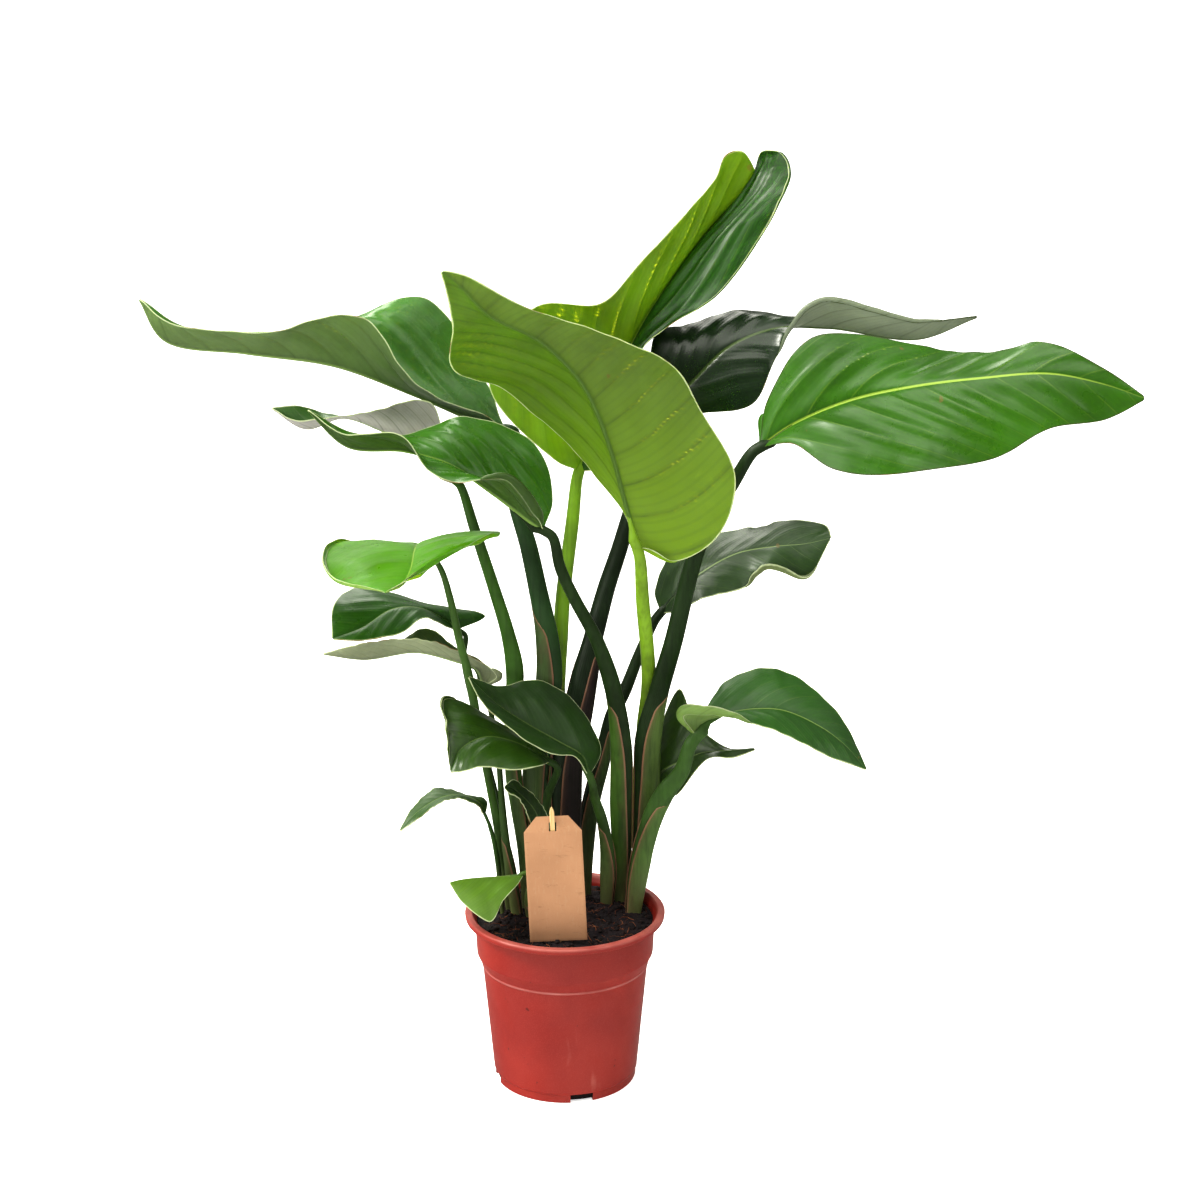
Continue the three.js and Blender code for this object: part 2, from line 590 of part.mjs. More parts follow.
function cardGeometry() {
  const w = CARD.width / 2;
  const overlap = CARD.thickness / 2;
  const panel = plate([[-w, -CARD.panelHeight], [w, -CARD.panelHeight], [w, overlap], [-w, overlap]]);
  const t = CARD.flapTopWidth / 2;
  const s = CARD.slotWidth / 2;
  const [low, high] = [CARD.slotFromFold, CARD.slotFromFold + CARD.slotHeight];
  const flap = plate(
    [[-w, 0], [w, 0], [t, CARD.flapHeight], [-t, CARD.flapHeight]],
    [[-s, low], [-s, high], [s, high], [s, low]],
  );
  flap.rotateX(-THREE.MathUtils.degToRad(CARD.flapLean));
  return placeCard(geometryOf(solidOf(panel).add(solidOf(flap))));
}

function stickGeometry(extra = 0) {
  const { width, thickness, topAboveFold, length, behindCard } = STICK;
  const geometry = new THREE.BoxGeometry(width + 2 * extra, thickness + 2 * extra, length + 2 * extra);
  const middle = thickness / 2 + behindCard;
  geometry.translate(0, middle, topAboveFold - length / 2);
  return placeCard(geometry);
}

// Object

function leafMaterial(color, roughness) {
  return new THREE.MeshStandardMaterial({ color, roughness, metalness: 0, side: THREE.DoubleSide });
}

const MATERIALS = {
  pot: new THREE.MeshStandardMaterial({ color: 0xc4503a, roughness: 0.55, metalness: 0 }),
  soil: new THREE.MeshStandardMaterial({ color: 0x2a1713, roughness: 1, metalness: 0 }),
  card: new THREE.MeshStandardMaterial({ color: 0xc39a78, roughness: 0.85, metalness: 0 }),
  stick: new THREE.MeshStandardMaterial({ color: 0xd9c193, roughness: 0.7, metalness: 0 }),
};

const group = new THREE.Group();

function addMesh(name, geometry, material) {
  const mesh = new THREE.Mesh(geometry, material);
  mesh.name = name;
  group.add(mesh);
}

addMesh('pot', potGeometry(), MATERIALS.pot);
addMesh('soil', soilGeometry(), MATERIALS.soil);
addMesh('tag_card', cardGeometry(), MATERIALS.card);
addMesh('tag_stick', stickGeometry(), MATERIALS.stick);

Object.entries(LEAVES).forEach(([letter, leaf]) => {
  const green = GREEN[leaf.green];
  addMesh(`leaf_${letter}_blade`, bladeGeometry(leaf), leafMaterial(green.upper, 0.4));
  addMesh(`leaf_${letter}_stalk`, trimmedStalk(leaf), leafMaterial(green.stalk, 0.5));
});

export default group;
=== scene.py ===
import math
import random

import bpy
import numpy as np
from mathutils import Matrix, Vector, noise


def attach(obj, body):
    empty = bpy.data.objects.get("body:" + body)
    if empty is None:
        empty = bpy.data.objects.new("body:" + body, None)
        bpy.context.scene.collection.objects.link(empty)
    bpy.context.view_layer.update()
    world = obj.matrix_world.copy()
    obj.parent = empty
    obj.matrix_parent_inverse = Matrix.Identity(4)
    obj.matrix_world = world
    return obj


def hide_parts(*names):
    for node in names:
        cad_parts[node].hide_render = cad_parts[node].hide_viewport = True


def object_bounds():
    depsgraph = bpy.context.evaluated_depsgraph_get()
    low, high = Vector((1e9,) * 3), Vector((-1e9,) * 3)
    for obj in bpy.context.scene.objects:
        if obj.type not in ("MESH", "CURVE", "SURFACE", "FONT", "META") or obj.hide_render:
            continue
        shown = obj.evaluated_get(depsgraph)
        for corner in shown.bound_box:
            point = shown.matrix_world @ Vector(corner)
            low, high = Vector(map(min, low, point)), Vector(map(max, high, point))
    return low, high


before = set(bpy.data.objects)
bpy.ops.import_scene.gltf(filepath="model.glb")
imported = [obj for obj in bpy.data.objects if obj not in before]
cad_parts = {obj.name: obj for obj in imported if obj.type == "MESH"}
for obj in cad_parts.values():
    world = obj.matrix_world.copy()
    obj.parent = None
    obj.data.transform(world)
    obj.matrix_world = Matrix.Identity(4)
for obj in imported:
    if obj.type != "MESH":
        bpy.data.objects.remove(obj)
LOW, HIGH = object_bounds()

MM = 0.001

# Driving dimensions, in mm

POT = {
    "height": 178, "foot_radius": 71, "foot_height": 9, "step_radius": 72.3,
    "shoulder_radius": 83, "shoulder_height": 124, "bead_proud": 0.9,
    "collar_radius": 88.3, "collar_height": 136, "neck_radius": 89.8, "neck_height": 168,
    "lip_radius": 100, "lip_drop": 6, "lip_round": 1.2, "lip_inner_radius": 93,
    "wall": 2, "floor": 2.5, "segments": 192, "corner_round": 0.9,
}
DRAIN = {"count": 4, "first_angle": -76, "width": 23, "height": 9, "reach_in": 12,
         "hole_radius": 5, "hole_at": 48}

SOIL = {"height": 168, "lump": 1.8, "clearance": 0.3, "rings": 84, "segments": 220,
        "grain": 2.4, "crumbs": 420, "crumb_size": (0.9, 3.1), "crumb_clearance": 1.5,
        "fibres": 150, "fibre_length": (5, 19), "fibre_clearance": 4}

CARD = {"width": 56, "panel_height": 114, "flap_height": 15, "flap_top_width": 31, "flap_lean": 25,
        "thickness": 0.8, "slot_width": 7, "slot_height": 8.5, "slot_from_fold": 0.4,
        "fold_centre": (-10.5, -65, 286.5), "tilt": 2.7, "fold_round": 1.6, "curl": 0.315,
        "edge_round": 0.12}
STICK = {"width": 5, "thickness": 1.8, "top_above_fold": 25, "length": 190, "behind_card": 0.5,
         "point": 9, "joint_at": 0.62, "joint_length": 1.6, "joint_swell": 0.1, "squareness": 0.55}

STALK = {"sides": 30, "rings_a_span": 8, "lead": 12, "gap": 0.8, "root_depth": 32,
         "root_scale": 0.8, "neck_scale": 0.85, "least_radius": 1.5, "lobe": 0.02, "swell": 0.015,
         "run_under_blade": (5, 12, 22, 36, 52), "longest_run": 0.3, "end_width": 0.7,
         "end_depth": 0.5}

# half_turn is how far a sheath's foot reaches round the stalk to each side, in degrees. It gives up
# opening on its way to the top, and tip_narrowing in the last tip_share of its length. The stalk
# inside is thinner by room, a share of the thickness, up to room_above the top, where it fades
# out over room_fade. thin_share of the length, at the top, is thinner, and tip_edge is how far the
# pink of the edges reaches down from the tip.
SHEATH = {"thickness": 1.1, "edge_thickness": 0.4, "flare": 1.5, "sink": 0.35, "foot": 158,
          "rings": 46, "columns": 30, "half_turn": 168, "opening": 70, "tip_narrowing": 84,
          "tip_share": 0.14, "thin_share": 0.2, "room": 0.85, "room_above": 12, "room_fade": 40,
          "tip_edge": 40}
FAR_FROM_EDGE = 9.0
PALE_FOOT = {"from": 172, "to": 235, "share": 0.55}

BLADE = {"thickness": 0.75, "rib_depth": 2.4, "rib_depth_at_tip": 0.5, "rib_half_width": 2.3,
         "groove": 0.45, "base_half_width": 3, "tip_half_width": 1.6}
WIDE_GRID = {"rows": 132, "half_columns": 28}
NARROW_GRID = {"rows": 84, "half_columns": 20}
WIDE_BLADES = "abcfgh"
COLUMN_CROWDING = 1.7
RIPPLE_PHASE = {"left": 0, "right": 1.9}

# Pleats between the side veins, as shares of the blade's width and of the pleat's own
PLEAT = {"share_of_width": 0.36, "least": 8, "most": 29, "sharpness": 0.7, "height": 0.12,
         "low_height": 0.05, "curve": 0.5, "slant_share": 0.6, "wander": 0.16, "wander_length": 1.7,
         "flat_by_rib": 0.25}
DEEP_PLEATED = "abcfg"

# Unevenness that grows towards the margins: each ripple's height, its length in pleats, its phase
# a letter, and how far the two halves are out of step
FLUTTER_HEIGHT = 0.7
FLUTTER = [(0.8, 0.36, 1.3, 2), (0.6, 0.16, 0.7, 0)]

# How far each half's side veins lean towards the tip, on the left and right of the rib
VEIN_SLANTS = {"a": (0.4, 1.4), "b": (1.5, 1.2), "c": (1.9, 1.7), "f": (1.3, 1.7), "g": (1.4, 2.2),
               "h": (1.6, 1.6), "j": (0.4, 0.8)}
USUAL_SLANTS = (1.0, 1.0)

# Rolled margins: on which half, from where to where along the blade, how far out the roll stands,
# how far it turns in degrees, and whether it rolls up over the blade (1) or down under it (-1)
ROLLS = {
    "a": [("left", 0.0, 0.12, 3.0, 170, -1)],
    "b": [("left", -0.01, 0.1, 6.5, 200, -1)],
    "c": [("left", 0.04, 0.36, 4, 190, 1)],
    "d": [("right", 0.0, 0.42, 4.5, 170, 1)],
    "e": [("right", 0.5, 0.9, 3.5, 170, 1)],
    "g": [("right", 0.45, 0.82, 2.4, 170, 1)],
    "h": [("right", 0.5, 0.9, 2.2, 160, 1)],
    "j": [("right", 0.35, 1.0, 2.4, 170, 1), ("left", 0.4, 0.9, 2.0, 170, -1)],
    "l": [("left", 0.0, 0.25, 3.5, 170, 1)],
    "n": [("right", 0.55, 0.98, 3.5, 170, 1)],
}
ROLL = {"rows": 40, "columns": 12, "thickness": 0.6, "least_radius": 0.35, "sink": 0.25,
        "fullness": 0.6, "inner_column": 3, "vein_stretch": 1.2, "edge_most": 4.0, "edge_rise": 6}

# The leaves

# green names the leaf's kind of green, and is not used. Each blade hangs on three curves that
# leave its base and meet at its tip: the rib and the two margins, named as seen on the upper side
# with the tip away. bow lifts each half between rib and margin, as a share of its width, and wave
# is the height and count of the margin's ripples. Each row of a stalk is a point from the soil up,
# then half its width and half its depth.
LEAVES = {
    "a": {
        "green": "bright", "bow": 0.1, "wave": (2.5, 3),
        "base": (70, -25, 560), "tip": (-103, -130, 837),
        "rib": [(65, -25, 580), (56, -30, 614), (46, -35, 652), (34, -42, 688), (18, -52, 722),
                (-18, -74, 764), (-65, -105, 795), (-90, -119, 824)],
        "left": [(105, -25, 545), (146, -18, 568), (163, -10, 623), (131, -14, 687),
                 (99, -38, 739), (33, -66, 773), (-30, -90, 798), (-85, -124, 834)],
        "right": [(55, -10, 595), (31, -1, 622), (5, 5, 650), (-22, -2, 680), (-52, -11, 707),
                  (-99, -45, 731), (-97, -100, 787), (-101, -122, 820)],
        "stalk": [(50, 58, 169, 8, 5), (58, 60, 215, 8.5, 5), (72, 60, 270, 9, 5),
                  (80, 48, 360, 8, 5.5), (83, 44, 395, 7.5, 5.5), (82, 30, 430, 7, 6),
                  (76, 0, 500, 6.5, 6)],
    },
    "b": {
        "green": "glossy", "bow": 0.08, "wave": (3, 4),
        "base": (190, 10, 650), "tip": (540, -35, 705),
        "rib": [(218, 10, 670), (270, 5, 694), (331, 0, 709), (393, -10, 719), (454, -20, 725),
                (503, -30, 717)],
        "left": [(194, 20, 691), (236, 35, 748), (344, 35, 742), (394, 20, 735), (447, 0, 752),
                 (506, -26, 729)],
        "right": [(215, -15, 658), (254, -45, 639), (332, -50, 639), (400, -45, 650),
                  (453, -40, 677), (506, -38, 686)],
        "stalk": [(68, 28, 168, 8.5, 5), (78, 38, 224, 10.5, 5), (82, 40, 290, 13, 5),
                  (83, 34, 350, 14, 5), (94, 30, 401, 10, 6), (106, 27, 446, 9, 7),
                  (132, 20, 554, 8, 7), (164, 14, 615, 6.5, 6)],
    },
    "c": {
        "green": "glossy", "bow": 0.1, "wave": (2, 4),
        "base": (-20, -20, 575), "tip": (-235, -45, 695),
        "rib": [(-34, -20, 585), (-63, -25, 609), (-105, -30, 640), (-128, -32, 649),
                (-150, -35, 655), (-200, -40, 660)],
        "left": [(-25, -45, 595), (-50, -60, 630), (-100, -70, 635), (-124, -64, 641),
                 (-145, -60, 675), (-200, -55, 675)],
        "right": [(-10, 5, 600), (-30, 26, 650), (-90, 22, 675), (-124, 13, 669), (-155, 2, 660),
                  (-200, -18, 670)],
        "stalk": [(56, 43, 167, 7, 5), (57, 42, 200, 8.5, 5), (56, 36, 270, 11.5, 5),
                  (56, 26, 342, 11.5, 5.5), (49, 16, 399, 9, 6), (32, 4, 458, 6.5, 6),
                  (11, -6, 502, 6, 5.5), (-3, -14, 536, 5.5, 5)],
    },
    "d": {
        "green": "glossy", "bow": 0.08, "wave": (1.5, 3),
        "base": (130, 0, 362), "tip": (292, -36, 340),
        "rib": [(138, 2, 374), (164, 4, 384), (210, 0, 388), (246, -10, 376), (272, -22, 360)],
        "left": [(142, 24, 386), (162, 40, 406), (212, 36, 418), (256, 16, 394), (284, -10, 358)],
        "right": [(116, -16, 388), (156, -24, 388), (204, -36, 380), (242, -40, 360),
                  (272, -40, 348)],
        "stalk": [(69, 13, 172, 8, 4.5), (73, 18, 205, 10.5, 5), (80, 18, 243, 10.5, 5),
                  (88, 16, 272, 11, 5), (100, 12, 298, 10, 5), (115, 6, 321, 8, 4.5)],
    },
    "e": {
        "green": "mid", "bow": 0.06, "wave": (3, 3),
        "base": (96, 56, 472), "tip": (260, 50, 548),
        "rib": [(106, 56, 486), (130, 56, 508), (168, 58, 530), (206, 56, 538), (236, 52, 542)],
        "left": [(90, 76, 488), (104, 90, 520), (179, 96, 546), (211, 84, 556), (257, 64, 557)],
        "right": [(112, 44, 476), (138, 38, 490), (176, 34, 504), (200, 34, 521), (238, 38, 514)],
        "stalk": [(18, 62, 166, 8, 5), (20, 62, 216, 9, 5.5), (26, 62, 267, 9, 6),
                  (36, 62, 310, 9, 6), (47, 60, 361, 7.5, 6), (60, 58, 389, 6.5, 6),
                  (75, 56, 430, 5.5, 5)],
    },
    "f": {
        "green": "dark", "bow": 0.08, "wave": (3, 4),
        "base": (-60, 60, 655), "tip": (-395, 5, 790),
        "rib": [(-90, 60, 665), (-145, 55, 690), (-220, 45, 720), (-300, 30, 735),
                (-374, 10, 751)],
        "left": [(-83, 45, 676), (-135, 20, 701), (-185, 10, 771), (-272, 0, 763),
                 (-362, -5, 768)],
        "right": [(-65, 80, 670), (-80, 105, 698), (-136, 100, 775), (-245, 70, 750),
                  (-357, 30, 761)],
        "stalk": [(-30, 36, 170, 10, 6), (-33, 38, 226, 13, 7), (-31, 38, 290, 13, 7),
                  (-24, 36, 355, 14, 7), (-15, 36, 406, 14, 7), (-17, 38, 452, 12, 7),
                  (-26, 42, 498, 9, 8), (-35, 46, 541, 8.5, 8), (-50, 54, 596, 7, 7)],
    },
    "g": {
        "green": "bright", "bow": 0.08, "wave": (3, 3),
        "base": (15, 60, 615), "tip": (190, 125, 885),
        "rib": [(20, 60, 635), (40, 68, 680), (54, 76, 711), (69, 84, 741), (84, 93, 766),
                (116, 106, 811), (148, 116, 849), (166, 121, 865), (180, 124, 877)],
        "left": [(-10, 40, 630), (-71, 42, 703), (-26, 48, 776), (33, 60, 778), (67, 68, 808),
                 (119, 88, 859), (143, 99, 890), (155, 106, 913), (173, 115, 915)],
        "right": [(36, 50, 620), (65, 50, 715), (80, 58, 736), (108, 65, 760), (147, 74, 785),
                  (203, 92, 861), (217, 100, 893), (208, 108, 916), (190, 116, 915)],
        "stalk": [(-10, 60, 170, 8, 5), (-14, 60, 271, 9, 6), (-9, 60, 357, 8.5, 6),
                  (-5, 60, 419, 7.5, 7), (-2, 60, 482, 7.5, 7), (8, 60, 564, 6.5, 6.5)],
    },
    "h": {
        "green": "dark", "bow": 0.08, "wave": (2, 3),
        "base": (85, 70, 665), "tip": (395, 55, 765),
        "rib": [(121, 70, 696), (160, 70, 734), (205, 70, 752), (255, 65, 753), (340, 60, 743)],
        "left": [(90, 85, 745), (121, 100, 750), (174, 100, 764), (250, 75, 760), (340, 65, 754)],
        "right": [(135, 60, 671), (182, 50, 682), (205, 50, 731), (242, 45, 779), (338, 50, 762)],
        "stalk": [(1, 40, 170, 12, 7), (1, 40, 225, 15, 8), (1, 42, 278, 16, 8),
                  (3, 44, 324, 16, 8), (12, 48, 365, 15.5, 8), (21, 52, 412, 13.5, 8),
                  (29, 56, 447, 10, 8), (41, 60, 493, 9, 8), (57, 64, 543, 8, 8),
                  (74, 68, 612, 6.5, 6.5)],
    },
    "i": {
        "green": "grey", "bow": 0.06, "wave": (2, 3),
        "base": (-100, 35, 605), "tip": (-275, 10, 685),
        "rib": [(-105, 30, 620), (-130, 30, 640), (-170, 25, 660), (-210, 20, 675),
                (-245, 15, 665)],
        "left": [(-110, 24, 620), (-125, 14, 690), (-165, 8, 688), (-205, 6, 680), (-250, 5, 675)],
        "right": [(-120, 45, 610), (-140, 55, 630), (-174, 50, 657), (-215, 40, 670),
                  (-250, 25, 685)],
        "stalk": [(-37, 22, 173, 7, 4.5), (-41, 24, 232, 7, 5), (-47, 26, 279, 8, 5),
                  (-51, 28, 310, 8.5, 5.5), (-51, 30, 367, 9, 6), (-49, 31, 419, 9, 6),
                  (-55, 32, 455, 7, 6), (-69, 33, 504, 6, 6), (-88, 34, 566, 5, 5)],
    },
    "j": {
        "green": "bright", "bow": 0.08, "wave": (2, 2),
        "base": (-136, -4, 556), "tip": (-156, -176, 558),
        "rib": [(-138, -24, 562), (-138, -70, 566), (-138, -120, 562), (-144, -156, 558)],
        "left": [(-118, -4, 562), (-62, -16, 574), (-76, -64, 576), (-124, -124, 564)],
        "right": [(-160, -4, 556), (-208, -16, 560), (-220, -70, 562), (-202, -130, 554)],
        "stalk": [(-56, 24, 174, 5, 4), (-62, 23, 221, 5, 4), (-69, 20, 271, 4.5, 4),
                  (-76, 17, 314, 4.2, 4), (-85, 13, 368, 4.2, 4), (-92, 8, 416, 4.2, 4),
                  (-102, 2, 462, 4, 4), (-109, -2, 500, 3.5, 3.5), (-118, -5, 533, 2.8, 2.8)],
    },
    "k": {
        "green": "dark", "bow": 0.06, "wave": (1.5, 2),
        "base": (-106, 42, 458), "tip": (-220, -30, 470),
        "rib": [(-116, 38, 468), (-140, 26, 484), (-166, 9, 488), (-194, -14, 476)],
        "left": [(-116, 28, 464), (-134, 10, 480), (-158, -16, 470), (-192, -28, 468)],
        "right": [(-78, 52, 468), (-132, 52, 480), (-206, 32, 502), (-222, -4, 494)],
        "stalk": [(-54, 40, 173, 4, 4), (-61, 39, 226, 4, 4), (-69, 38, 280, 3.6, 3.6),
                  (-81, 36, 334, 3.4, 3.4), (-92, 40, 386, 3.2, 3.2), (-100, 46, 428, 3, 3)],
    },
    "l": {
        "green": "grey", "bow": 0.06, "wave": (1.5, 2),
        "base": (-80, 24, 406), "tip": (-232, -10, 448),
        "rib": [(-86, 26, 422), (-108, 28, 430), (-146, 24, 440), (-194, 6, 438)],
        "left": [(-66, 16, 418), (-110, 16, 448), (-144, 4, 458), (-194, -12, 460)],
        "right": [(-80, 33, 426), (-108, 38, 440), (-136, 40, 459), (-177, 16, 444)],
        "stalk": [(-49, 8, 173, 6, 4.5), (-55, 8, 219, 5.8, 4.5), (-60, 9, 259, 4, 3.5),
                  (-63, 12, 300, 3, 3), (-66, 16, 341, 2.8, 2.8), (-73, 21, 381, 2.6, 2.6)],
    },
    "m": {
        "green": "dark", "bow": 0.08, "wave": (1.5, 2),
        "base": (24, -12, 326), "tip": (-90, -40, 434),
        "rib": [(18, -12, 344), (-4, -16, 360), (-34, -22, 380), (-64, -30, 404)],
        "left": [(10, -24, 348), (-12, -40, 358), (-50, -52, 384), (-78, -50, 414)],
        "right": [(36, 8, 344), (18, 22, 378), (-24, 20, 412), (-62, -4, 414)],
        "stalk": [(42, 34, 174, 7, 5), (43, 30, 205, 8.5, 5), (42, 24, 236, 7.5, 5),
                  (37, 14, 268, 5.5, 4.5), (29, 0, 299, 4.5, 4)],
    },
    "n": {
        "green": "dark", "bow": 0.08, "wave": (1.5, 2),
        "base": (-16, -12, 340), "tip": (-108, -60, 346),
        "rib": [(-26, -14, 348), (-48, -20, 362), (-76, -28, 370), (-100, -44, 362)],
        "left": [(-22, -32, 342), (-46, -48, 344), (-76, -60, 350), (-96, -64, 348)],
        "right": [(-20, 0, 346), (-54, 4, 366), (-116, -8, 402), (-112, -32, 380)],
        "stalk": [(-20, 24, 172, 5, 4), (-18, 17, 234, 5, 4), (-17, 10, 293, 4.2, 4)],
    },
    "o": {
        "green": "glossy", "bow": 0.06, "wave": (1, 2),
        "base": (-80, 12, 276), "tip": (-160, -30, 274),
        "rib": [(-84, 12, 286), (-100, 8, 296), (-120, -2, 298), (-142, -18, 290)],
        "left": [(-86, 4, 286), (-104, -4, 298), (-122, -16, 296), (-144, -28, 284)],
        "right": [(-78, 22, 286), (-102, 22, 292), (-128, 12, 302), (-148, -10, 292)],
        "stalk": [(-64, 15, 179, 2.6, 2.6), (-67, 14, 220, 2.6, 2.6), (-71, 13, 247, 2.4, 2.4),
                  (-75, 12, 263, 2, 2)],
    },
    "p": {
        "green": "glossy", "bow": 0.06, "wave": (1, 2),
        "base": (-42, -10, 220), "tip": (-112, -42, 224),
        "rib": [(-48, -12, 220), (-64, -16, 220), (-82, -24, 222), (-100, -34, 224)],
        "left": [(-46, -22, 214), (-60, -44, 206), (-72, -64, 192), (-98, -56, 208)],
        "right": [(-48, -4, 214), (-62, 0, 208), (-80, 0, 204), (-98, -20, 214)],
        "stalk": [(-35, -2, 169, 4, 3), (-37, -5, 194, 3.4, 3)],
    },
    "q": {
        "green": "dark", "bow": 0.06, "wave": (1, 2),
        "base": (-18, -4, 258), "tip": (-58, -22, 316),
        "rib": [(-24, -6, 272), (-30, -10, 288), (-42, -14, 304), (-52, -18, 314)],
        "left": [(-32, -12, 270), (-36, -20, 288), (-44, -26, 304), (-54, -26, 312)],
        "right": [(-16, 1, 276), (-24, 0, 290), (-38, -4, 308), (-50, -12, 320)],
        "stalk": [(-15, -8, 175, 4, 3), (-16, -6, 222, 3.5, 3)],
    },
    "r": {
        "green": "dark", "bow": 0.06, "wave": (1, 2),
        "base": (92, 52, 298), "tip": (188, 22, 340),
        "rib": [(100, 50, 308), (116, 46, 318), (138, 38, 330), (164, 28, 336)],
        "left": [(92, 68, 328), (114, 68, 387), (132, 52, 354), (164, 36, 336)],
        "right": [(100, 44, 290), (111, 32, 287), (142, 26, 328), (168, 24, 330)],
        "stalk": [(70, 40, 166, 3.6, 3.4), (76, 48, 188, 4, 3.6), (84, 56, 214, 4, 3.6),
                  (90, 57, 252, 3.8, 3.6)],
    },
}

# Greens: the blade's upper side, its underside, the pale rib, the stalk and its sheath, how rough
# the upper side is, and how much light comes through the blade
LOOKS = {
    "a": ("486a0c", "4c661c", "44601c", "5c7818", "6a783a", 0.42, 0.35),
    "b": ("2a5604", "667c46", "8ca63c", "182a0e", "3f5222", 0.3, 0.1),
    "c": ("346414", "344c1c", "6f8e3c", "1a2c0e", "38541a", 0.24, 0.1),
    "d": ("1e4a06", "5f783a", "7a944a", "2c4618", "46602a", 0.38, 0.1),
    "e": ("243c18", "5c6840", "6f844e", "16260e", "384a26", 0.38, 0.06),
    "f": ("4a7a34", "546a3a", "6c8444", "20381a", "3c4e28", 0.24, 0.1),
    "g": ("5c820c", "66880f", "7c9834", "587812", "526628", 0.38, 0.5),
    "h": ("10240c", "66705c", "3c5020", "142210", "241c1c", 0.26, 0.06),
    "i": ("325c1a", "8e8c88", "7f8c6c", "2c4a12", "40562a", 0.34, 0.06),
    "j": ("447a04", "64823a", "86a440", "304a18", "44562a", 0.32, 0.3),
    "k": ("1f460a", "989e84", "6c8250", "2a4018", "44562a", 0.32, 0.1),
    "l": ("304a1c", "747c60", "788a5a", "283c16", "44562a", 0.34, 0.08),
    "m": ("1c380a", "4c5a34", "5c703a", "2a4018", "3e5028", 0.36, 0.1),
    "n": ("2a480f", "586838", "5c7438", "1e3210", "44562a", 0.32, 0.1),
    "o": ("2c4a1a", "6c784e", "6c8446", "264016", "3a4e28", 0.36, 0.1),
    "p": ("507020", "748a44", "7e9650", "3e5c1e", "44562a", 0.34, 0.1),
    "q": ("223814", "4e5a36", "506438", "2a4018", "3c4e28", 0.36, 0.1),
    "r": ("263e14", "58643f", "5e723c", "303e18", "3c4e28", 0.34, 0.1),
}

# A green near the stalk, on the blades that have one: on a a lighter one, painted light for the
# light shining through the blade there, on j a lighter one and on f a darker one
BASE_GREENS = {"a": "6a8a0c", "f": "1e400e", "j": "5c9a0c"}

# Blades whose right half is another green than the left, as painted shade: that half lies turned
# from the light, on g in the shadow of the left half. Its upper side and its underside
RIGHT_HALF_SHADE = {"a": ("4c700c", "446408"), "g": ("163c04", "244808")}

# Margins are pale and dry, and on two blades darker than the leaf
PALE_EDGE = "b0ba94"
DARK_EDGE = "34421c"
DARK_EDGED = "bh"
DRY_BROWN = "6a5028"
# The dark line painted along the creases underneath, as painted shade
CREASE_SHADE = "35491c"

# A sheath's edge is pinkish, and it turns rusty in places and pale at the soil
PINK_EDGE = "8a6450"
RUST = "4a2c24"
FOOT_GREEN = "6a6a48"

# Sheaths: the height of each one's top and the direction that it opens to, in degrees round the
# stalk from +X, -90 being the front
SHEATHS = {
    "a": (352, -150), "b": (407, -152), "c": (410, -28), "d": (296, -160), "e": (369, -155),
    "f": (491, -25), "g": (440, -30), "h": (458, -130), "i": (413, -20), "k": (250, -40),
    "l": (255, -30), "m": (268, -20), "n": (262, -30), "p": (186, -30), "r": (212, -140),
}


# Vectors and curves

TINY = 1e-9


def unit(vector):
    return vector / max(np.linalg.norm(vector), TINY)


def unit_rows(vectors):
    """Each vector along the last axis, at length 1."""
    return vectors / np.maximum(np.linalg.norm(vectors, axis=-1, keepdims=True), TINY)


def round_turn(count):
    """Evenly spaced angles of a full turn."""
    return np.linspace(0, 2 * math.pi, count, endpoint=False)


def square_to(forward, side):
    """The unit vector nearest to side that is square to forward."""
    return unit(side - np.dot(side, forward) * forward)


class Curve:
    """A centripetal Catmull-Rom curve through points, run from 0 to 1."""

    TANGENT_STEP = 1e-4
    LEAST_KNOT = 1e-4

    def __init__(self, points):
        self.points = [np.array(point, float) for point in points]

    def at(self, t):
        points = self.points
        last = len(points) - 1
        place = t * last
        k = min(int(place), last - 1)
        w = place - k
        p1, p2 = points[k], points[k + 1]
        p0 = points[k - 1] if k > 0 else 2 * p1 - p2
        p3 = points[k + 2] if k + 2 <= last else 2 * p2 - p1
        d0, d1, d2 = (max(np.dot(q - p, q - p) ** 0.25, self.LEAST_KNOT)
                      for p, q in ((p0, p1), (p1, p2), (p2, p3)))
        t1 = ((p1 - p0) / d0 - (p2 - p0) / (d0 + d1) + (p2 - p1) / d1) * d1
        t2 = ((p2 - p1) / d1 - (p3 - p1) / (d1 + d2) + (p3 - p2) / d2) * d1
        squared = -3 * p1 + 3 * p2 - 2 * t1 - t2
        cubed = 2 * p1 - 2 * p2 + t1 + t2
        return p1 + t1 * w + squared * w ** 2 + cubed * w ** 3

    def tangent(self, t):
        before = max(t - self.TANGENT_STEP, 0)
        after = min(t + self.TANGENT_STEP, 1)
        return unit(self.at(after) - self.at(before))


def ease(x):
    """0 below 0, 1 above 1, and smooth in between."""
    x = np.clip(x, 0, 1)
    return x * x * (3 - 2 * x)


# Meshes

def mesh_of(name, points, faces, face_materials=None, numbers=None):
    """A smooth mesh from points in mm, with a number for each point under each name in numbers."""
    mesh = bpy.data.meshes.new(name)
    mesh.from_pydata((np.asarray(points) * MM).tolist(), [], faces)
    mesh.polygons.foreach_set("use_smooth", [True] * len(mesh.polygons))
    if face_materials is not None:
        mesh.polygons.foreach_set("material_index", face_materials)
    for key, values in (numbers or {}).items():
        layer = mesh.attributes.new(key, "FLOAT", "POINT")
        layer.data.foreach_set("value", np.asarray(values, float).ravel())
    mesh.update()
    return mesh


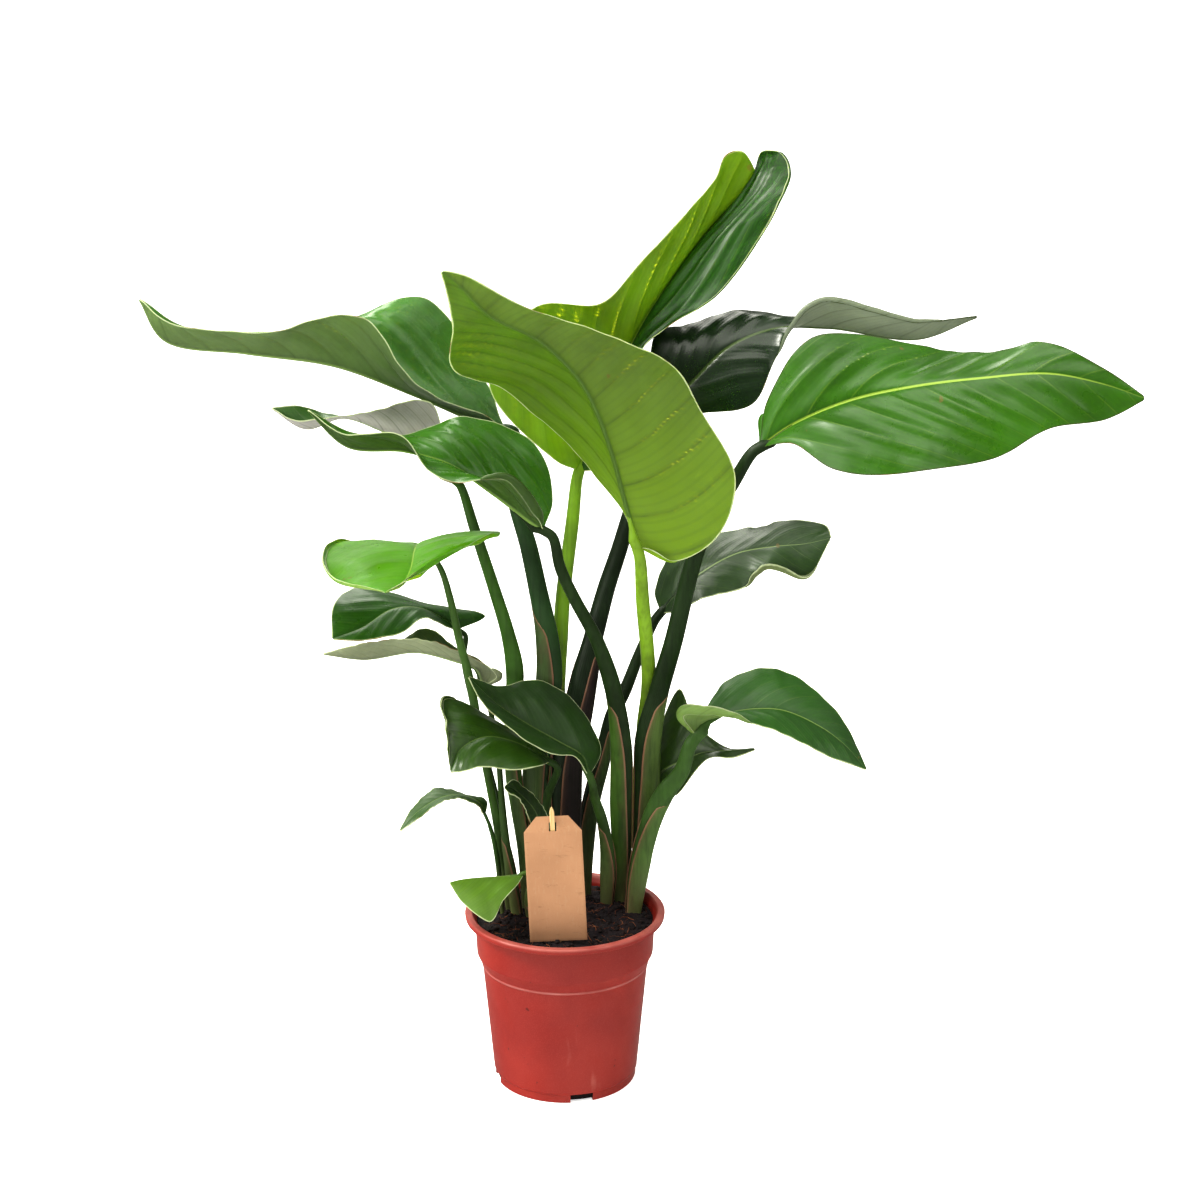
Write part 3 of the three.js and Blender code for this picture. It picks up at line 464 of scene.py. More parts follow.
def sharpen(mesh, chains):
    """Marks the edges that run along each chain of points as sharp."""
    wanted = {frozenset(pair) for chain in chains for pair in zip(chain, chain[1:])}
    ends = np.zeros(2 * len(mesh.edges), int)
    mesh.edges.foreach_get("vertices", ends)
    flags = [frozenset(pair) in wanted for pair in ends.reshape(-1, 2).tolist()]
    mesh.attributes.new("sharp_edge", "BOOLEAN", "EDGE").data.foreach_set("value", flags)


def add_piece(name, mesh, materials, node):
    for material in materials:
        mesh.materials.append(material)
    piece = bpy.data.objects.new(name, mesh)
    bpy.context.scene.collection.objects.link(piece)
    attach(piece, "root")
    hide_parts(node)
    return piece


def quads(rows, columns, start=0, closed=False, flip=False):
    """Faces of a grid of points held row by row; closed joins the last column to the first."""
    faces = []
    for i in range(rows - 1):
        for j in range(columns if closed else columns - 1):
            a = start + i * columns + j
            b = start + i * columns + (j + 1) % columns
            face = [a, b, b + columns, a + columns]
            faces.append(face[::-1] if flip else face)
    return faces


def shell(rows, columns, flip=False):
    """Faces of two equal grids of points, one held after the other, and of the border between."""
    offset = rows * columns
    last = offset - columns
    pairs = [(k, k + columns) for k in range(0, last, columns)]
    pairs += [(k + columns, k) for k in range(columns - 1, last, columns)]
    pairs += [(j + 1, j) for j in range(columns - 1)]
    pairs += [(j, j + 1) for j in range(last, offset - 1)]
    faces = quads(rows, columns) + quads(rows, columns, offset, flip=True)
    faces += [[a, b, offset + b, offset + a] for a, b in pairs]
    return [face[::-1] for face in faces] if flip else faces


def tube(rows, columns, flip=False):
    """Faces of rings of points, one after the other, with the first and the last ring closed."""
    last = (rows - 1) * columns
    faces = quads(rows, columns, closed=True)
    faces += [list(range(columns))[::-1], list(range(last, last + columns))]
    return [face[::-1] for face in faces] if flip else faces


def fan(tip, start, count, flip=False):
    """Triangles that join one point to a ring of points."""
    faces = [[tip, start + s, start + (s + 1) % count] for s in range(count)]
    return [face[::-1] for face in faces] if flip else faces


INSIDE = 0.25


def keep_in_box(points):
    """Holds points inside the CAD's own box."""
    low = np.array(LOW) / MM + INSIDE
    high = np.array(HIGH) / MM - INSIDE
    return np.clip(points, low, high)


# Shader nodes

def shade(text, scale=1.0):
    """A colour node value from six hex digits."""
    parts = [int(text[k:k + 2], 16) / 255 for k in (0, 2, 4)]
    linear = [p / 12.92 if p <= 0.04045 else ((p + 0.055) / 1.055) ** 2.4 for p in parts]
    return (*(min(value * scale, 1) for value in linear), 1)


class Nodes:
    """The node tree of a material or a world, with a short call for each kind of node."""

    def __init__(self, owner):
        owner.use_nodes = True
        self.tree = owner.node_tree

    def link(self, source, socket):
        """Gives a socket another node's output, a value, or a colour in six hex digits."""
        if isinstance(source, bpy.types.NodeSocket):
            self.tree.links.new(source, socket)
        else:
            socket.default_value = shade(source) if isinstance(source, str) else source

    def node(self, kind, **inputs):
        """A node of a kind, with values or links for the inputs named, spaces as underlines."""
        node = self.tree.nodes.new(f"ShaderNode{kind}")
        for key, value in inputs.items():
            self.link(value, node.inputs[key.replace("_", " ")])
        return node

    def attribute(self, name):
        node = self.node("Attribute")
        node.attribute_name = name
        return node.outputs["Fac"]

    def place(self):
        return self.node("NewGeometry").outputs["Position"]

    def math(self, operation, a, b=0.0, c=0.0):
        node = self.node("Math")
        node.operation = operation
        for value, socket in zip((a, b, c), node.inputs):
            self.link(value, socket)
        return node.outputs["Value"]

    def times(self, a, b):
        return self.math("MULTIPLY", a, b)

    def step(self, value, low, high, to_low=0.0, to_high=1.0):
        """value from low to high, smoothly made to_low to to_high."""
        node = self.node("MapRange")
        node.interpolation_type = "SMOOTHSTEP"
        for item, socket in zip((value, low, high, to_low, to_high), node.inputs):
            self.link(item, socket)
        return node.outputs["Result"]

    def mix(self, share, a, b):
        node = self.node("Mix")
        node.data_type = "RGBA"
        for value, socket in zip((share, a, b), (node.inputs[0], node.inputs[6], node.inputs[7])):
            self.link(value, socket)
        return node.outputs[2]

    def over(self, color, tint, value, low, high, least=0.0, most=1.0):
        """A colour with a tint over it, least of it at value low and most of it at high."""
        return self.mix(self.step(value, low, high, least, most), color, tint)

    def noise(self, scale, detail=3.0, stretch=(1, 1, 1), rough=0.5):
        mapping = self.node("Mapping", Vector=self.place(), Scale=stretch)
        return self.node("TexNoise", Vector=mapping.outputs["Vector"], Scale=scale, Detail=detail,
                         Roughness=rough).outputs["Fac"]

    def mottled(self, scale, detail, a, b, low=0.3, high=0.7):
        """Clouds of two colours."""
        return self.mix(self.step(self.noise(scale, detail), low, high), a, b)

    def bump(self, height, strength, distance, **under):
        return self.node("Bump", Height=height, Strength=strength, Distance=distance,
                         **under).outputs["Normal"]


class Shader(Nodes):
    """A new material's nodes."""

    def __init__(self, name):
        self.material = bpy.data.materials.new(name)
        super().__init__(self.material)
        self.bsdf = self.tree.nodes["Principled BSDF"]

    def finish(self, color, roughness, normal, specular=0.5):
        self.link(color, self.bsdf.inputs["Base Color"])
        self.link(roughness, self.bsdf.inputs["Roughness"])
        self.link(normal, self.bsdf.inputs["Normal"])
        self.bsdf.inputs["Specular IOR Level"].default_value = specular
        return self.material


# How many half waves of each kind of vein lie across one pleat, and what light does in a leaf
HALF_WAVES = {"crease": 1, "side": 8, "fine": 34}
LEAF_LIGHT = {"reach": (1.0, 1.0, 0.25), "depth": 3, "specular": 0.4}


def blade_material(name, greens, rib, roughness, pleat, crease, painted_crease, rib_width, glow,
                   edge_green, base=None):
    """A leaf's skin: creases and side veins by the mesh's own vein distance, a pale rib and a
    margin of its own colour. greens are the left and right half's, the right one painted shade on
    some blades; crease is the colour of the line painted along the crease between two pleats, a
    painted highlight on the upper side and painted shade underneath, painted_crease how strong
    that line and the painted shade across each fold are, glow how much light passes through, and
    base the green near the stalk where it differs, painted light on blade a."""
    s = Shader(name)
    ribwards, edge, along = s.attribute("rib"), s.attribute("edge"), s.attribute("along")

    def tone(scale):
        left, right = (shade(green, scale) for green in greens)
        if left == right:
            return left
        return s.mix(s.step(s.attribute("side"), -0.04, 0.04), left, right)

    def wave(kind):
        return s.math("SINE", s.times(s.attribute("vein"), HALF_WAVES[kind] * math.pi / pleat))

    color = s.mix(s.step(s.noise(13, 3), 0.3, 0.7), tone(0.8), tone(1.22))
    # Another green near the stalk, on blade a painted light
    if base:
        color = s.over(color, base, along, 0.0, 0.75, 0.9, 0.0)
    color = s.over(color, tone(1.45), s.noise(170, 4, rough=0.7), 0.35, 0.75, 0.0, 0.22)
    fold = s.math("ABSOLUTE", wave("crease"))
    side_vein, fine = wave("side"), wave("fine")
    # Painted shade: each fold turns darker towards its crease
    color = s.over(color, tone(0.6), fold, 0.0, 0.4, 0.7 * painted_crease, 0.0)
    color = s.over(color, tone(0.6), side_vein, 0.2, 1.0, 0.0, 0.14)
    color = s.over(color, tone(1.4), fine, 0.0, 1.0, 0.0, 0.05)
    # The line painted along each crease: a painted highlight on the upper side, painted shade
    # underneath
    wander = s.step(s.noise(30, 2), 0.35, 0.65, 0.25, 1.0)
    line = s.times(wander, s.step(fold, 0.02, 0.13, painted_crease, 0.0))
    color = s.mix(line, color, crease)

    # The rib narrows to a quarter and fades towards the tip
    on_rib = s.math("DIVIDE", ribwards, s.math("MULTIPLY_ADD", along, -0.75 * rib_width, rib_width))
    rib_strength = s.times(s.step(on_rib, 0.6, 1.4, 0.9, 0.0), s.step(along, 0.6, 1.0, 1.0, 0.3))
    color = s.mix(rib_strength, color, rib)

    frayed = s.math("ADD", edge, s.step(s.noise(90, 2), 0.3, 0.7, -0.15, 0.35))
    color = s.over(color, edge_green, frayed, 0.4, 1.3, 0.85, 0.0)
    dry = s.times(s.step(frayed, 0.2, 0.7, 1.0, 0.0), s.step(s.noise(22, 2), 0.57, 0.68))
    color = s.mix(dry, color, DRY_BROWN)
    color = s.over(color, DRY_BROWN, s.noise(75, 1), 0.78, 0.8, 0.0, 0.5)
    waxy = s.step(s.noise(40, 4), 0.3, 0.7, roughness - 0.05, roughness + 0.1)
    ridges = s.math("MULTIPLY_ADD", fine, 0.2, s.times(side_vein, 0.6))
    pores = s.bump(s.noise(420, 3), 0.12, 0.0002, Normal=s.bump(ridges, 0.16, 0.0002))
    if glow:
        s.bsdf.inputs["Subsurface Weight"].default_value = glow
        s.bsdf.inputs["Subsurface Radius"].default_value = LEAF_LIGHT["reach"]
        s.bsdf.inputs["Subsurface Scale"].default_value = LEAF_LIGHT["depth"] * MM
    return s.finish(color, waxy, pores, LEAF_LIGHT["specular"])


def stalk_material(name, green, sheath):
    """Smooth ribbed skin that turns paler at the soil, with a sheath of another green whose edges
    are pink."""
    s = Shader(name)
    wrap, edge = s.attribute("sheath"), s.attribute("edge")
    streak = s.noise(300, 3, stretch=(1, 1, 0.03))
    cloudy = s.step(s.noise(24, 3), 0.3, 0.7)
    skin = s.mix(cloudy, shade(green, 1.1), shade(green, 1.75))
    leafy = s.mix(cloudy, shade(sheath, 0.95), shade(sheath, 1.4))
    color = s.mix(wrap, skin, leafy)
    color = s.over(color, shade(green, 0.55), streak, 0.4, 0.7, 0.0, 0.3)
    color = s.over(color, FOOT_GREEN, s.attribute("height"),
                   PALE_FOOT["from"], PALE_FOOT["to"], PALE_FOOT["share"], 0.0)
    color = s.mix(s.times(wrap, s.step(edge, 0.5, 5.0, 0.28, 0.0)), color, shade(PINK_EDGE, 0.5))
    color = s.mix(s.times(wrap, s.step(edge, 0.3, 1.6, 0.85, 0.0)), color, PINK_EDGE)
    rusty = s.step(s.noise(55, 4, stretch=(1, 1, 0.35)), 0.58, 0.72, 0.0, 0.3)
    color = s.mix(s.times(wrap, rusty), color, RUST)
    waxy = s.step(s.noise(60, 3), 0.3, 0.7, 0.34, 0.5)
    ridges = s.math("SINE", s.times(s.attribute("around"), 34))
    grooves = s.math("MULTIPLY_ADD", streak, 0.8, s.times(ridges, 0.3))
    return s.finish(color, waxy, s.bump(grooves, 0.35, 0.0003), 0.3)


# Blades

class BladeForm:
    """A leaf's curves and the middle surface that hangs on them."""

    def __init__(self, leaf):
        self.leaf = leaf
        base = np.array(leaf["base"], float)
        tip = np.array(leaf["tip"], float)
        rib = [np.array(point, float) for point in leaf["rib"]]

        def margin(points):
            inner = [np.array(point, float) for point in points]
            start = base + BLADE["base_half_width"] * unit(inner[0] - rib[0])
            end = tip + BLADE["tip_half_width"] * unit(inner[-1] - rib[-1])
            return Curve([start, *inner, end])

        self.rib = Curve([base, *rib, tip])
        self.left = margin(leaf["left"])
        self.right = margin(leaf["right"])

    def row(self, along, shares):
        """Points of one row, from the left margin over the rib to the right one, and its chords."""
        on_rib = self.rib.at(along)
        forward = self.rib.tangent(along)
        halves = []
        chords = []
        height, count = self.leaf["wave"]
        for side, curve in (("left", self.left), ("right", self.right)):
            chord = curve.at(along) - on_rib
            up = unit(np.cross(forward, chord) if side == "left" else np.cross(chord, forward))
            swing = math.sin(2 * math.pi * count * along + RIPPLE_PHASE[side])
            ripple = height * shares ** 2 * math.sin(math.pi * along) * swing
            arch = self.leaf["bow"] * np.linalg.norm(chord) * 4 * shares * (1 - shares)
            halves.append(on_rib + shares[:, None] * chord + (arch + ripple)[:, None] * up)
            chords.append(np.linalg.norm(chord))
        left, right = halves
        return np.vstack([left[:0:-1], right]), chords


def crowded_shares(count):
    """Shares from the rib at 0 to the margin at 1, closer together near the rib."""
    u = np.linspace(0, 1, count + 1)
    return (np.exp(COLUMN_CROWDING * u) - 1) / (math.exp(COLUMN_CROWDING) - 1)


def surface_normals(middle):
    """Unit normals of a grid of points, towards its upper side."""
    normals = np.cross(np.gradient(middle, axis=1), np.gradient(middle, axis=0))
    normals[0] = normals[0].sum(axis=0)
    normals[-1] = normals[-1].sum(axis=0)
    return unit_rows(normals)


def rolled_margin(roll, middle, normals, vein, out):
    """A thin lip that grows out of one margin and rolls over, and dies away at both its ends."""
    half, first, last, radius, turn, up = roll
    column, inner = (0, ROLL["inner_column"]) if half == "left" else (-1, -1 - ROLL["inner_column"])
    rows = middle.shape[0] - 1
    shares = np.linspace(0, 1, ROLL["rows"])
    places = np.clip(first + (last - first) * shares, 0, 1) * rows
    angles = np.linspace(0, math.radians(turn), ROLL["columns"])
    half_thick = 0.5 * ROLL["thickness"]
    outer_skin, inner_skin, veins, ribs = [], [], [], []

    def between(values, place):
        k = min(int(place), rows - 1)
        return values[k] + (values[k + 1] - values[k]) * (place - k)

    for share, place in zip(shares, places):
        edge = between(middle[:, column], place)
        outward = unit(edge - between(middle[:, inner], place))
        normal = square_to(outward, between(normals[:, column], place)) * up
        size = radius * max(math.sin(math.pi * share), 0) ** ROLL["fullness"] + ROLL["least_radius"]
        arc = np.outer(np.sin(angles), outward) + np.outer(1 - np.cos(angles), normal)
        away = np.outer(np.sin(angles), outward) - np.outer(np.cos(angles), normal)
        line = edge - ROLL["sink"] * outward + size * arc
        outer_skin.append(line + half_thick * away)
        inner_skin.append(line - half_thick * away * min(1, size / 2))
        veins.append(between(vein[:, column], place) - ROLL["vein_stretch"] * size * angles)
        ribs.append(between(out[:, column], place) + size * angles)

    count, columns = len(shares), len(angles)
    mirrored = (half == "left") != (up < 0)
    faces = shell(count, columns, flip=not mirrored)
    one_skin = (count - 1) * (columns - 1)
    border = len(faces) - 2 * one_skin
    outer, under = (1, 0) if up > 0 else (0, 1)
    skins = [outer] * one_skin + [under] * one_skin + [0] * border
    free = np.minimum(ROLL["edge_most"], ROLL["edge_rise"] * (1 - angles / angles[-1]))
    numbers = {"vein": np.concatenate(veins), "rib": np.concatenate(ribs),
               "edge": np.tile(free, count), "along": np.repeat(places / rows, columns),
               "side": np.full(count * columns, -1.0 if half == "left" else 1.0)}
    twice = {key: np.tile(values, 2) for key, values in numbers.items()}
    return np.concatenate(outer_skin + inner_skin), faces, skins, twice


def blade_mesh(letter, form):
    size = WIDE_GRID if letter in WIDE_BLADES else NARROW_GRID
    rows = size["rows"] + 1
    shares = crowded_shares(size["half_columns"])
    signed = np.concatenate([-shares[:0:-1], shares])
    columns = len(signed)
    grid = []
    widths = []
    for along in np.linspace(0, 1, rows):
        points, chords = form.row(along, shares)
        grid.append(points)
        widths.append(chords)
    middle = np.array(grid)
    widths = np.array(widths)
    along = np.linspace(0, 1, rows)[:, None] * np.ones(columns)

    # How far each point lies along the rib, out from it and in from the margin
    rib_line = middle[:, columns // 2]
    run = np.concatenate([[0], np.cumsum(np.linalg.norm(np.diff(rib_line, axis=0), axis=1))])
    chord = np.where(signed < 0, widths[:, :1], widths[:, 1:])
    out = np.abs(signed) * chord
    edge = (1 - np.abs(signed)) * chord
    widest = widths.max()
    pleat = float(np.clip(PLEAT["share_of_width"] * widest, PLEAT["least"], PLEAT["most"]))
    slant = np.where(signed < 0, *VEIN_SLANTS.get(letter, USUAL_SLANTS))
    vein = run[:, None] - slant * (out + PLEAT["curve"] * out ** 2 / widest)
    vein = vein / np.sqrt(1 + PLEAT["slant_share"] * slant ** 2)
    seed = ord(letter)
    wander = np.sin(vein / (PLEAT["wander_length"] * pleat) + seed) * (1 + 0.5 * np.sign(signed))
    vein = vein + PLEAT["wander"] * pleat * wander

    # Pleats between the side veins, and a little unevenness that grows towards the margins
    normals = surface_normals(middle)
    from_rib = ease(out / (PLEAT["flat_by_rib"] * widest))
    fade = np.sin(math.pi * along) ** 0.5 * from_rib * (1 - np.abs(signed) ** 5)
    depth = PLEAT["height" if letter in DEEP_PLEATED else "low_height"] * pleat
    sag = depth * fade * np.abs(np.sin(math.pi * vein / pleat)) ** PLEAT["sharpness"]
    loose = FLUTTER_HEIGHT * np.sin(math.pi * along) * np.abs(signed) ** 3
    flutter = sum(
        height * np.sin(run[:, None] / (length * pleat) + phase * seed + apart * np.sign(signed))
        for height, length, phase, apart in FLUTTER)
    middle = middle + (loose * flutter - sag)[:, :, None] * normals
    normals = surface_normals(middle)

    half = 0.5 * BLADE["thickness"]
    bell = np.exp(-(out / BLADE["rib_half_width"]) ** 2)
    rib_depth = BLADE["rib_depth"] + (BLADE["rib_depth_at_tip"] - BLADE["rib_depth"]) * along
    groove = BLADE["groove"] * bell * (1 - along)
    upper = middle + (half - groove)[:, :, None] * normals
    under = middle - (half + rib_depth * bell)[:, :, None] * normals
    rims = []
    for side, inner in ((0, 1), (-1, -2)):
        rims.append(middle[:, side] + half * unit_rows(middle[:, side] - middle[:, inner]))

    points = np.concatenate([upper.reshape(-1, 3), under.reshape(-1, 3), *rims])
    below = rows * columns
    left_rim = 2 * below
    right_rim = left_rim + rows
    faces = quads(rows, columns)
    count_upper = len(faces)
    faces += quads(rows, columns, below, flip=True)
    count_under = len(faces) - count_upper
    for i in range(rows - 1):
        a, b = i * columns, (i + 1) * columns
        faces.append([a, b, left_rim + i + 1, left_rim + i])
        faces.append([left_rim + i, left_rim + i + 1, below + b, below + a])
        a, b = a + columns - 1, b + columns - 1
        faces.append([b, a, right_rim + i, right_rim + i + 1])
        faces.append([right_rim + i + 1, right_rim + i, below + a, below + b])
    for row, flip in ((0, False), (rows - 1, True)):
        start = row * columns
        ring = [left_rim + row, *range(below + start, below + start + columns), right_rim + row]
        top = list(range(start, start + columns))
        lower = ring[1:-1]
        for j in range(columns - 1):
            face = [top[j + 1], top[j], lower[j], lower[j + 1]]
            faces.append(face[::-1] if flip else face)
        ends = ([top[0], ring[0], lower[0]], [top[-1], lower[-1], ring[-1]])
        faces += [end[::-1] if flip else end for end in ends]

    count_rest = len(faces) - count_upper - count_under
    materials = [0] * count_upper + [1] * count_under + [0] * count_rest
    side = np.ones((rows, 1)) * signed
    twice = {"vein": vein, "rib": out, "edge": edge, "along": along, "side": side}
    numbers = {key: np.concatenate([values.ravel(), values.ravel(), values[:, 0], values[:, -1]])
               for key, values in twice.items()}
    for roll in ROLLS.get(letter, []):
        more, more_faces, skins, more_numbers = rolled_margin(roll, middle, normals, vein, out)
        start = len(points)
        points = np.concatenate([points, more])
        faces += [[start + v for v in face] for face in more_faces]
        materials += skins
        numbers = {key: np.concatenate([values, more_numbers[key]])
                   for key, values in numbers.items()}
    name = f"blade_{letter}"
    mesh = mesh_of(name, keep_in_box(points), faces, materials, numbers)
    margins = [[i * columns + j for i in range(rows)] for j in (0, columns - 1)]
    sharpen(mesh, margins + [[below + k for k in chain] for chain in margins])
    return mesh, pleat, normals[0, columns // 2]


# Stalks

def transported(path, places, side=(1.0, 0.0, 0.0)):
    """At each place of a path, its centre, its direction and a side that turns as little as can."""
    frames = []
    for t in places:
        forward = path.tangent(t)
        side = square_to(forward, np.array(side))
        frames.append((path.at(t), forward, side))
    return frames


def stalk_stations(leaf, form):
    rows = [(np.array(row[:3], float), row[3], row[4]) for row in leaf["stalk"]]
    (first, wide, deep), second = rows[0], rows[1][0]
    down = unit(first - second)
    scale = STALK["root_scale"]
    root = (first + STALK["root_depth"] * down, wide * scale, deep * scale)
    forward = form.rib.tangent(0)
    base = np.array(leaf["base"], float)
    neck = [size * STALK["neck_scale"] for size in rows[-1][1:]]
    ends = [(base - STALK[key] * forward, *neck) for key in ("lead", "gap")]
    return [root, *rows, *ends]


def stalk_mesh(letter, leaf, form, blade_normal):
    stations = stalk_stations(leaf, form)
    path = Curve([station[0] for station in stations])
    spans = len(stations) - 1
    places = np.linspace(0, 1, spans * STALK["rings_a_span"] + 1)
    frames = transported(path, places)
    softness = np.hanning(STALK["rings_a_span"] + 1)[1:-1]
    softness /= softness.sum()
    pad = len(softness) // 2
    sizes = []
    for key in (1, 2):
        line = np.interp(places * spans, range(spans + 1), [station[key] for station in stations])
        sizes.append(np.convolve(np.pad(line, pad, mode="edge"), softness, mode="valid"))
    wide, deep = sizes

    sheath = SHEATHS.get(letter)
    heights = np.array([centre[2] for centre, _, _ in frames])
    if sheath:
        above = sheath[0] + SHEATH["room_above"] - heights
        room = SHEATH["room"] * SHEATH["thickness"] * ease(above / SHEATH["room_fade"])
        wide = np.maximum(wide - room, STALK["least_radius"])
        deep = np.maximum(deep - room, STALK["least_radius"])

    # Past its neck the stalk runs on under the blade and thins into the rib
    side = frames[-1][2]
    rib = form.rib.points
    rib_length = sum(np.linalg.norm(np.subtract(a, b)) for a, b in zip(rib, rib[1:]))
    end_wide = BLADE["rib_half_width"] * STALK["end_width"]
    end_deep = BLADE["rib_depth"] * STALK["end_depth"]
    runs = [run for run in STALK["run_under_blade"] if run < STALK["longest_run"] * rib_length]
    shares = ease(np.array(runs) / runs[-1])
    wide = np.concatenate([wide, wide[-1] + (end_wide - wide[-1]) * shares])
    deep = np.concatenate([deep, deep[-1] + (end_deep - deep[-1]) * shares])
    for run, ring_deep in zip(runs, deep[-len(runs):]):
        t = run / rib_length
        drop = ease(run / runs[1]) * (ring_deep - 0.2 * BLADE["thickness"])
        forward = form.rib.tangent(t)
        side = square_to(forward, side)
        frames.append((form.rib.at(t) - drop * blade_normal, forward, side))

    sides = STALK["sides"]
    angles = round_turn(sides)
    seed = ord(letter)
    rings = []
    for k, (centre, forward, side) in enumerate(frames):
        depth = np.cross(forward, side)
        lobes = STALK["lobe"] * np.sin(3 * angles + 0.11 * k + seed)
        uneven = 1 + lobes + STALK["swell"] * math.sin(0.21 * k + seed)
        ring = centre + np.outer(wide[k] * uneven * np.cos(angles), side)
        rings.append(ring + np.outer(deep[k] * uneven * np.sin(angles), depth))
    points = np.concatenate(rings)
    count = len(frames)
    faces = tube(count, sides)
    around = np.tile(angles, count)
    wrap = np.zeros(len(points))
    edge = np.full(len(points), FAR_FROM_EDGE)

    if sheath:
        more, more_faces, more_edge, more_around = sheath_shell(path, places, wide, deep, sheath)
        faces += [[len(points) + v for v in face] for face in more_faces]
        points = np.concatenate([points, more])
        wrap = np.concatenate([wrap, np.ones(len(more))])
        edge = np.concatenate([edge, more_edge])
        around = np.concatenate([around, more_around])
    numbers = {"height": points[:, 2], "sheath": wrap, "edge": edge, "around": around}
    return mesh_of(f"stalk_{letter}", keep_in_box(points), faces, numbers=numbers)


def sheath_shell(path, places, wide, deep, sheath):
    """A thin leaf base wrapped round the stalk, with its two margins free and its top a point."""
    top, opening = sheath
    keel = math.radians(opening + 180)
    fine = np.linspace(0, 1, 12 * len(places))
    frames = transported(path, fine)
    heights = np.array([centre[2] for centre, _, _ in frames])
    first = int(np.argmax(heights > SHEATH["foot"]))
    last = int(np.argmax(heights > top)) or len(fine) - 1
    picks = np.linspace(first, last, SHEATH["rings"]).astype(int)
    across = np.linspace(-1, 1, SHEATH["columns"])
    spread = np.abs(across)
    thin, thick = SHEATH["edge_thickness"], SHEATH["thickness"]
    outer, inner, edges, arounds = [], [], [], []
    for k, pick in enumerate(picks):
        centre, forward, side = frames[pick]
        depth = np.cross(forward, side)
        share = k / (len(picks) - 1)
        left_over = 1 - share
        narrowing = SHEATH["tip_narrowing"] * ease(1 - left_over / SHEATH["tip_share"])
        span = math.radians(SHEATH["half_turn"] - SHEATH["opening"] * share ** 2 - narrowing)
        angles = keel + span * across
        a = np.interp(fine[pick], places, wide[:len(places)])
        b = np.interp(fine[pick], places, deep[:len(places)])
        lift = SHEATH["flare"] * spread ** 4 * math.sin(math.pi * min(share + 0.12, 1)) ** 0.6
        lift = lift - SHEATH["sink"]
        thinned = 1 - 0.6 * ease(1 - left_over / SHEATH["thin_share"])
        thickness = thin + (thick - thin) * (1 - spread ** 3) * thinned
        direction = np.outer(np.cos(angles), side) + np.outer(np.sin(angles), depth)
        core = centre + np.outer(a * np.cos(angles), side) + np.outer(b * np.sin(angles), depth)
        inner.append(core + lift[:, None] * direction)
        outer.append(core + (lift + thickness)[:, None] * direction)
        from_side = (1 - spread) * span * 0.5 * (a + b)
        edges.append(np.minimum(from_side, left_over * SHEATH["tip_edge"]))
        arounds.append(angles)
    faces = shell(len(picks), len(across))
    twice = [np.tile(np.concatenate(values), 2) for values in (edges, arounds)]
    return np.concatenate(outer + inner), faces, *twice


# How strong the painted crease lines and the painted shade across the folds are on a blade's upper
# side and its underside, how much wider the rib shows and how much rougher the skin is underneath,
# and how much of the rib is pale
PAINTED_CREASE = {"upper": 0.14, "under": 0.36}
UNDER_RIB = 1.4
UNDER_ROUGHER = 0.12
PALE_RIB = {"wide": 0.85, "narrow": 0.5}


for letter, leaf in LEAVES.items():
    green, under_green, rib_green, stalk_green, sheath_green, roughness, glow = LOOKS[letter]
    form = BladeForm(leaf)
    mesh, pleat, normal = blade_mesh(letter, form)
    rib_width = BLADE["rib_half_width"] * PALE_RIB["wide" if letter in WIDE_BLADES else "narrow"]
    edge_green = DARK_EDGE if letter in DARK_EDGED else PALE_EDGE
    # The right half's green is painted shade on the blades that have one
    right_shade_green, right_shade_under = RIGHT_HALF_SHADE.get(letter, (green, under_green))
    base = BASE_GREENS.get(letter)
    skins = [
        blade_material(f"skin_{letter}", (green, right_shade_green), rib_green, roughness, pleat,
                       rib_green, PAINTED_CREASE["upper"], rib_width, glow, edge_green, base),
        blade_material(f"underskin_{letter}", (under_green, right_shade_under), rib_green,
                       roughness + UNDER_ROUGHER, pleat, CREASE_SHADE, PAINTED_CREASE["under"],
                       UNDER_RIB * rib_width, glow, edge_green, base),
    ]
    add_piece(f"blade_{letter}", mesh, skins, f"leaf_{letter}_blade")
    stalk = stalk_mesh(letter, leaf, form, normal)
    skin = stalk_material(f"stalkskin_{letter}", stalk_green, sheath_green)
    add_piece(f"stalk_{letter}", stalk, [skin], f"leaf_{letter}_stalk")


# Pot

def rounded(outline, radius, steps=4):
    """An outline with its corners turned into short arcs."""
    done = [outline[0]]
    for before, corner, after in zip(outline, outline[1:], outline[2:]):
        corner = np.array(corner, float)
        back = np.array(before) - corner
        ahead = np.array(after) - corner
        reach = min(radius, 0.45 * np.linalg.norm(back), 0.45 * np.linalg.norm(ahead))
        start = corner + reach * unit(back)
        end = corner + reach * unit(ahead)
        for w in np.linspace(0, 1, steps + 1):
            done.append(tuple((1 - w) ** 2 * start + 2 * w * (1 - w) * corner + w ** 2 * end))
    done.append(outline[-1])
    return done


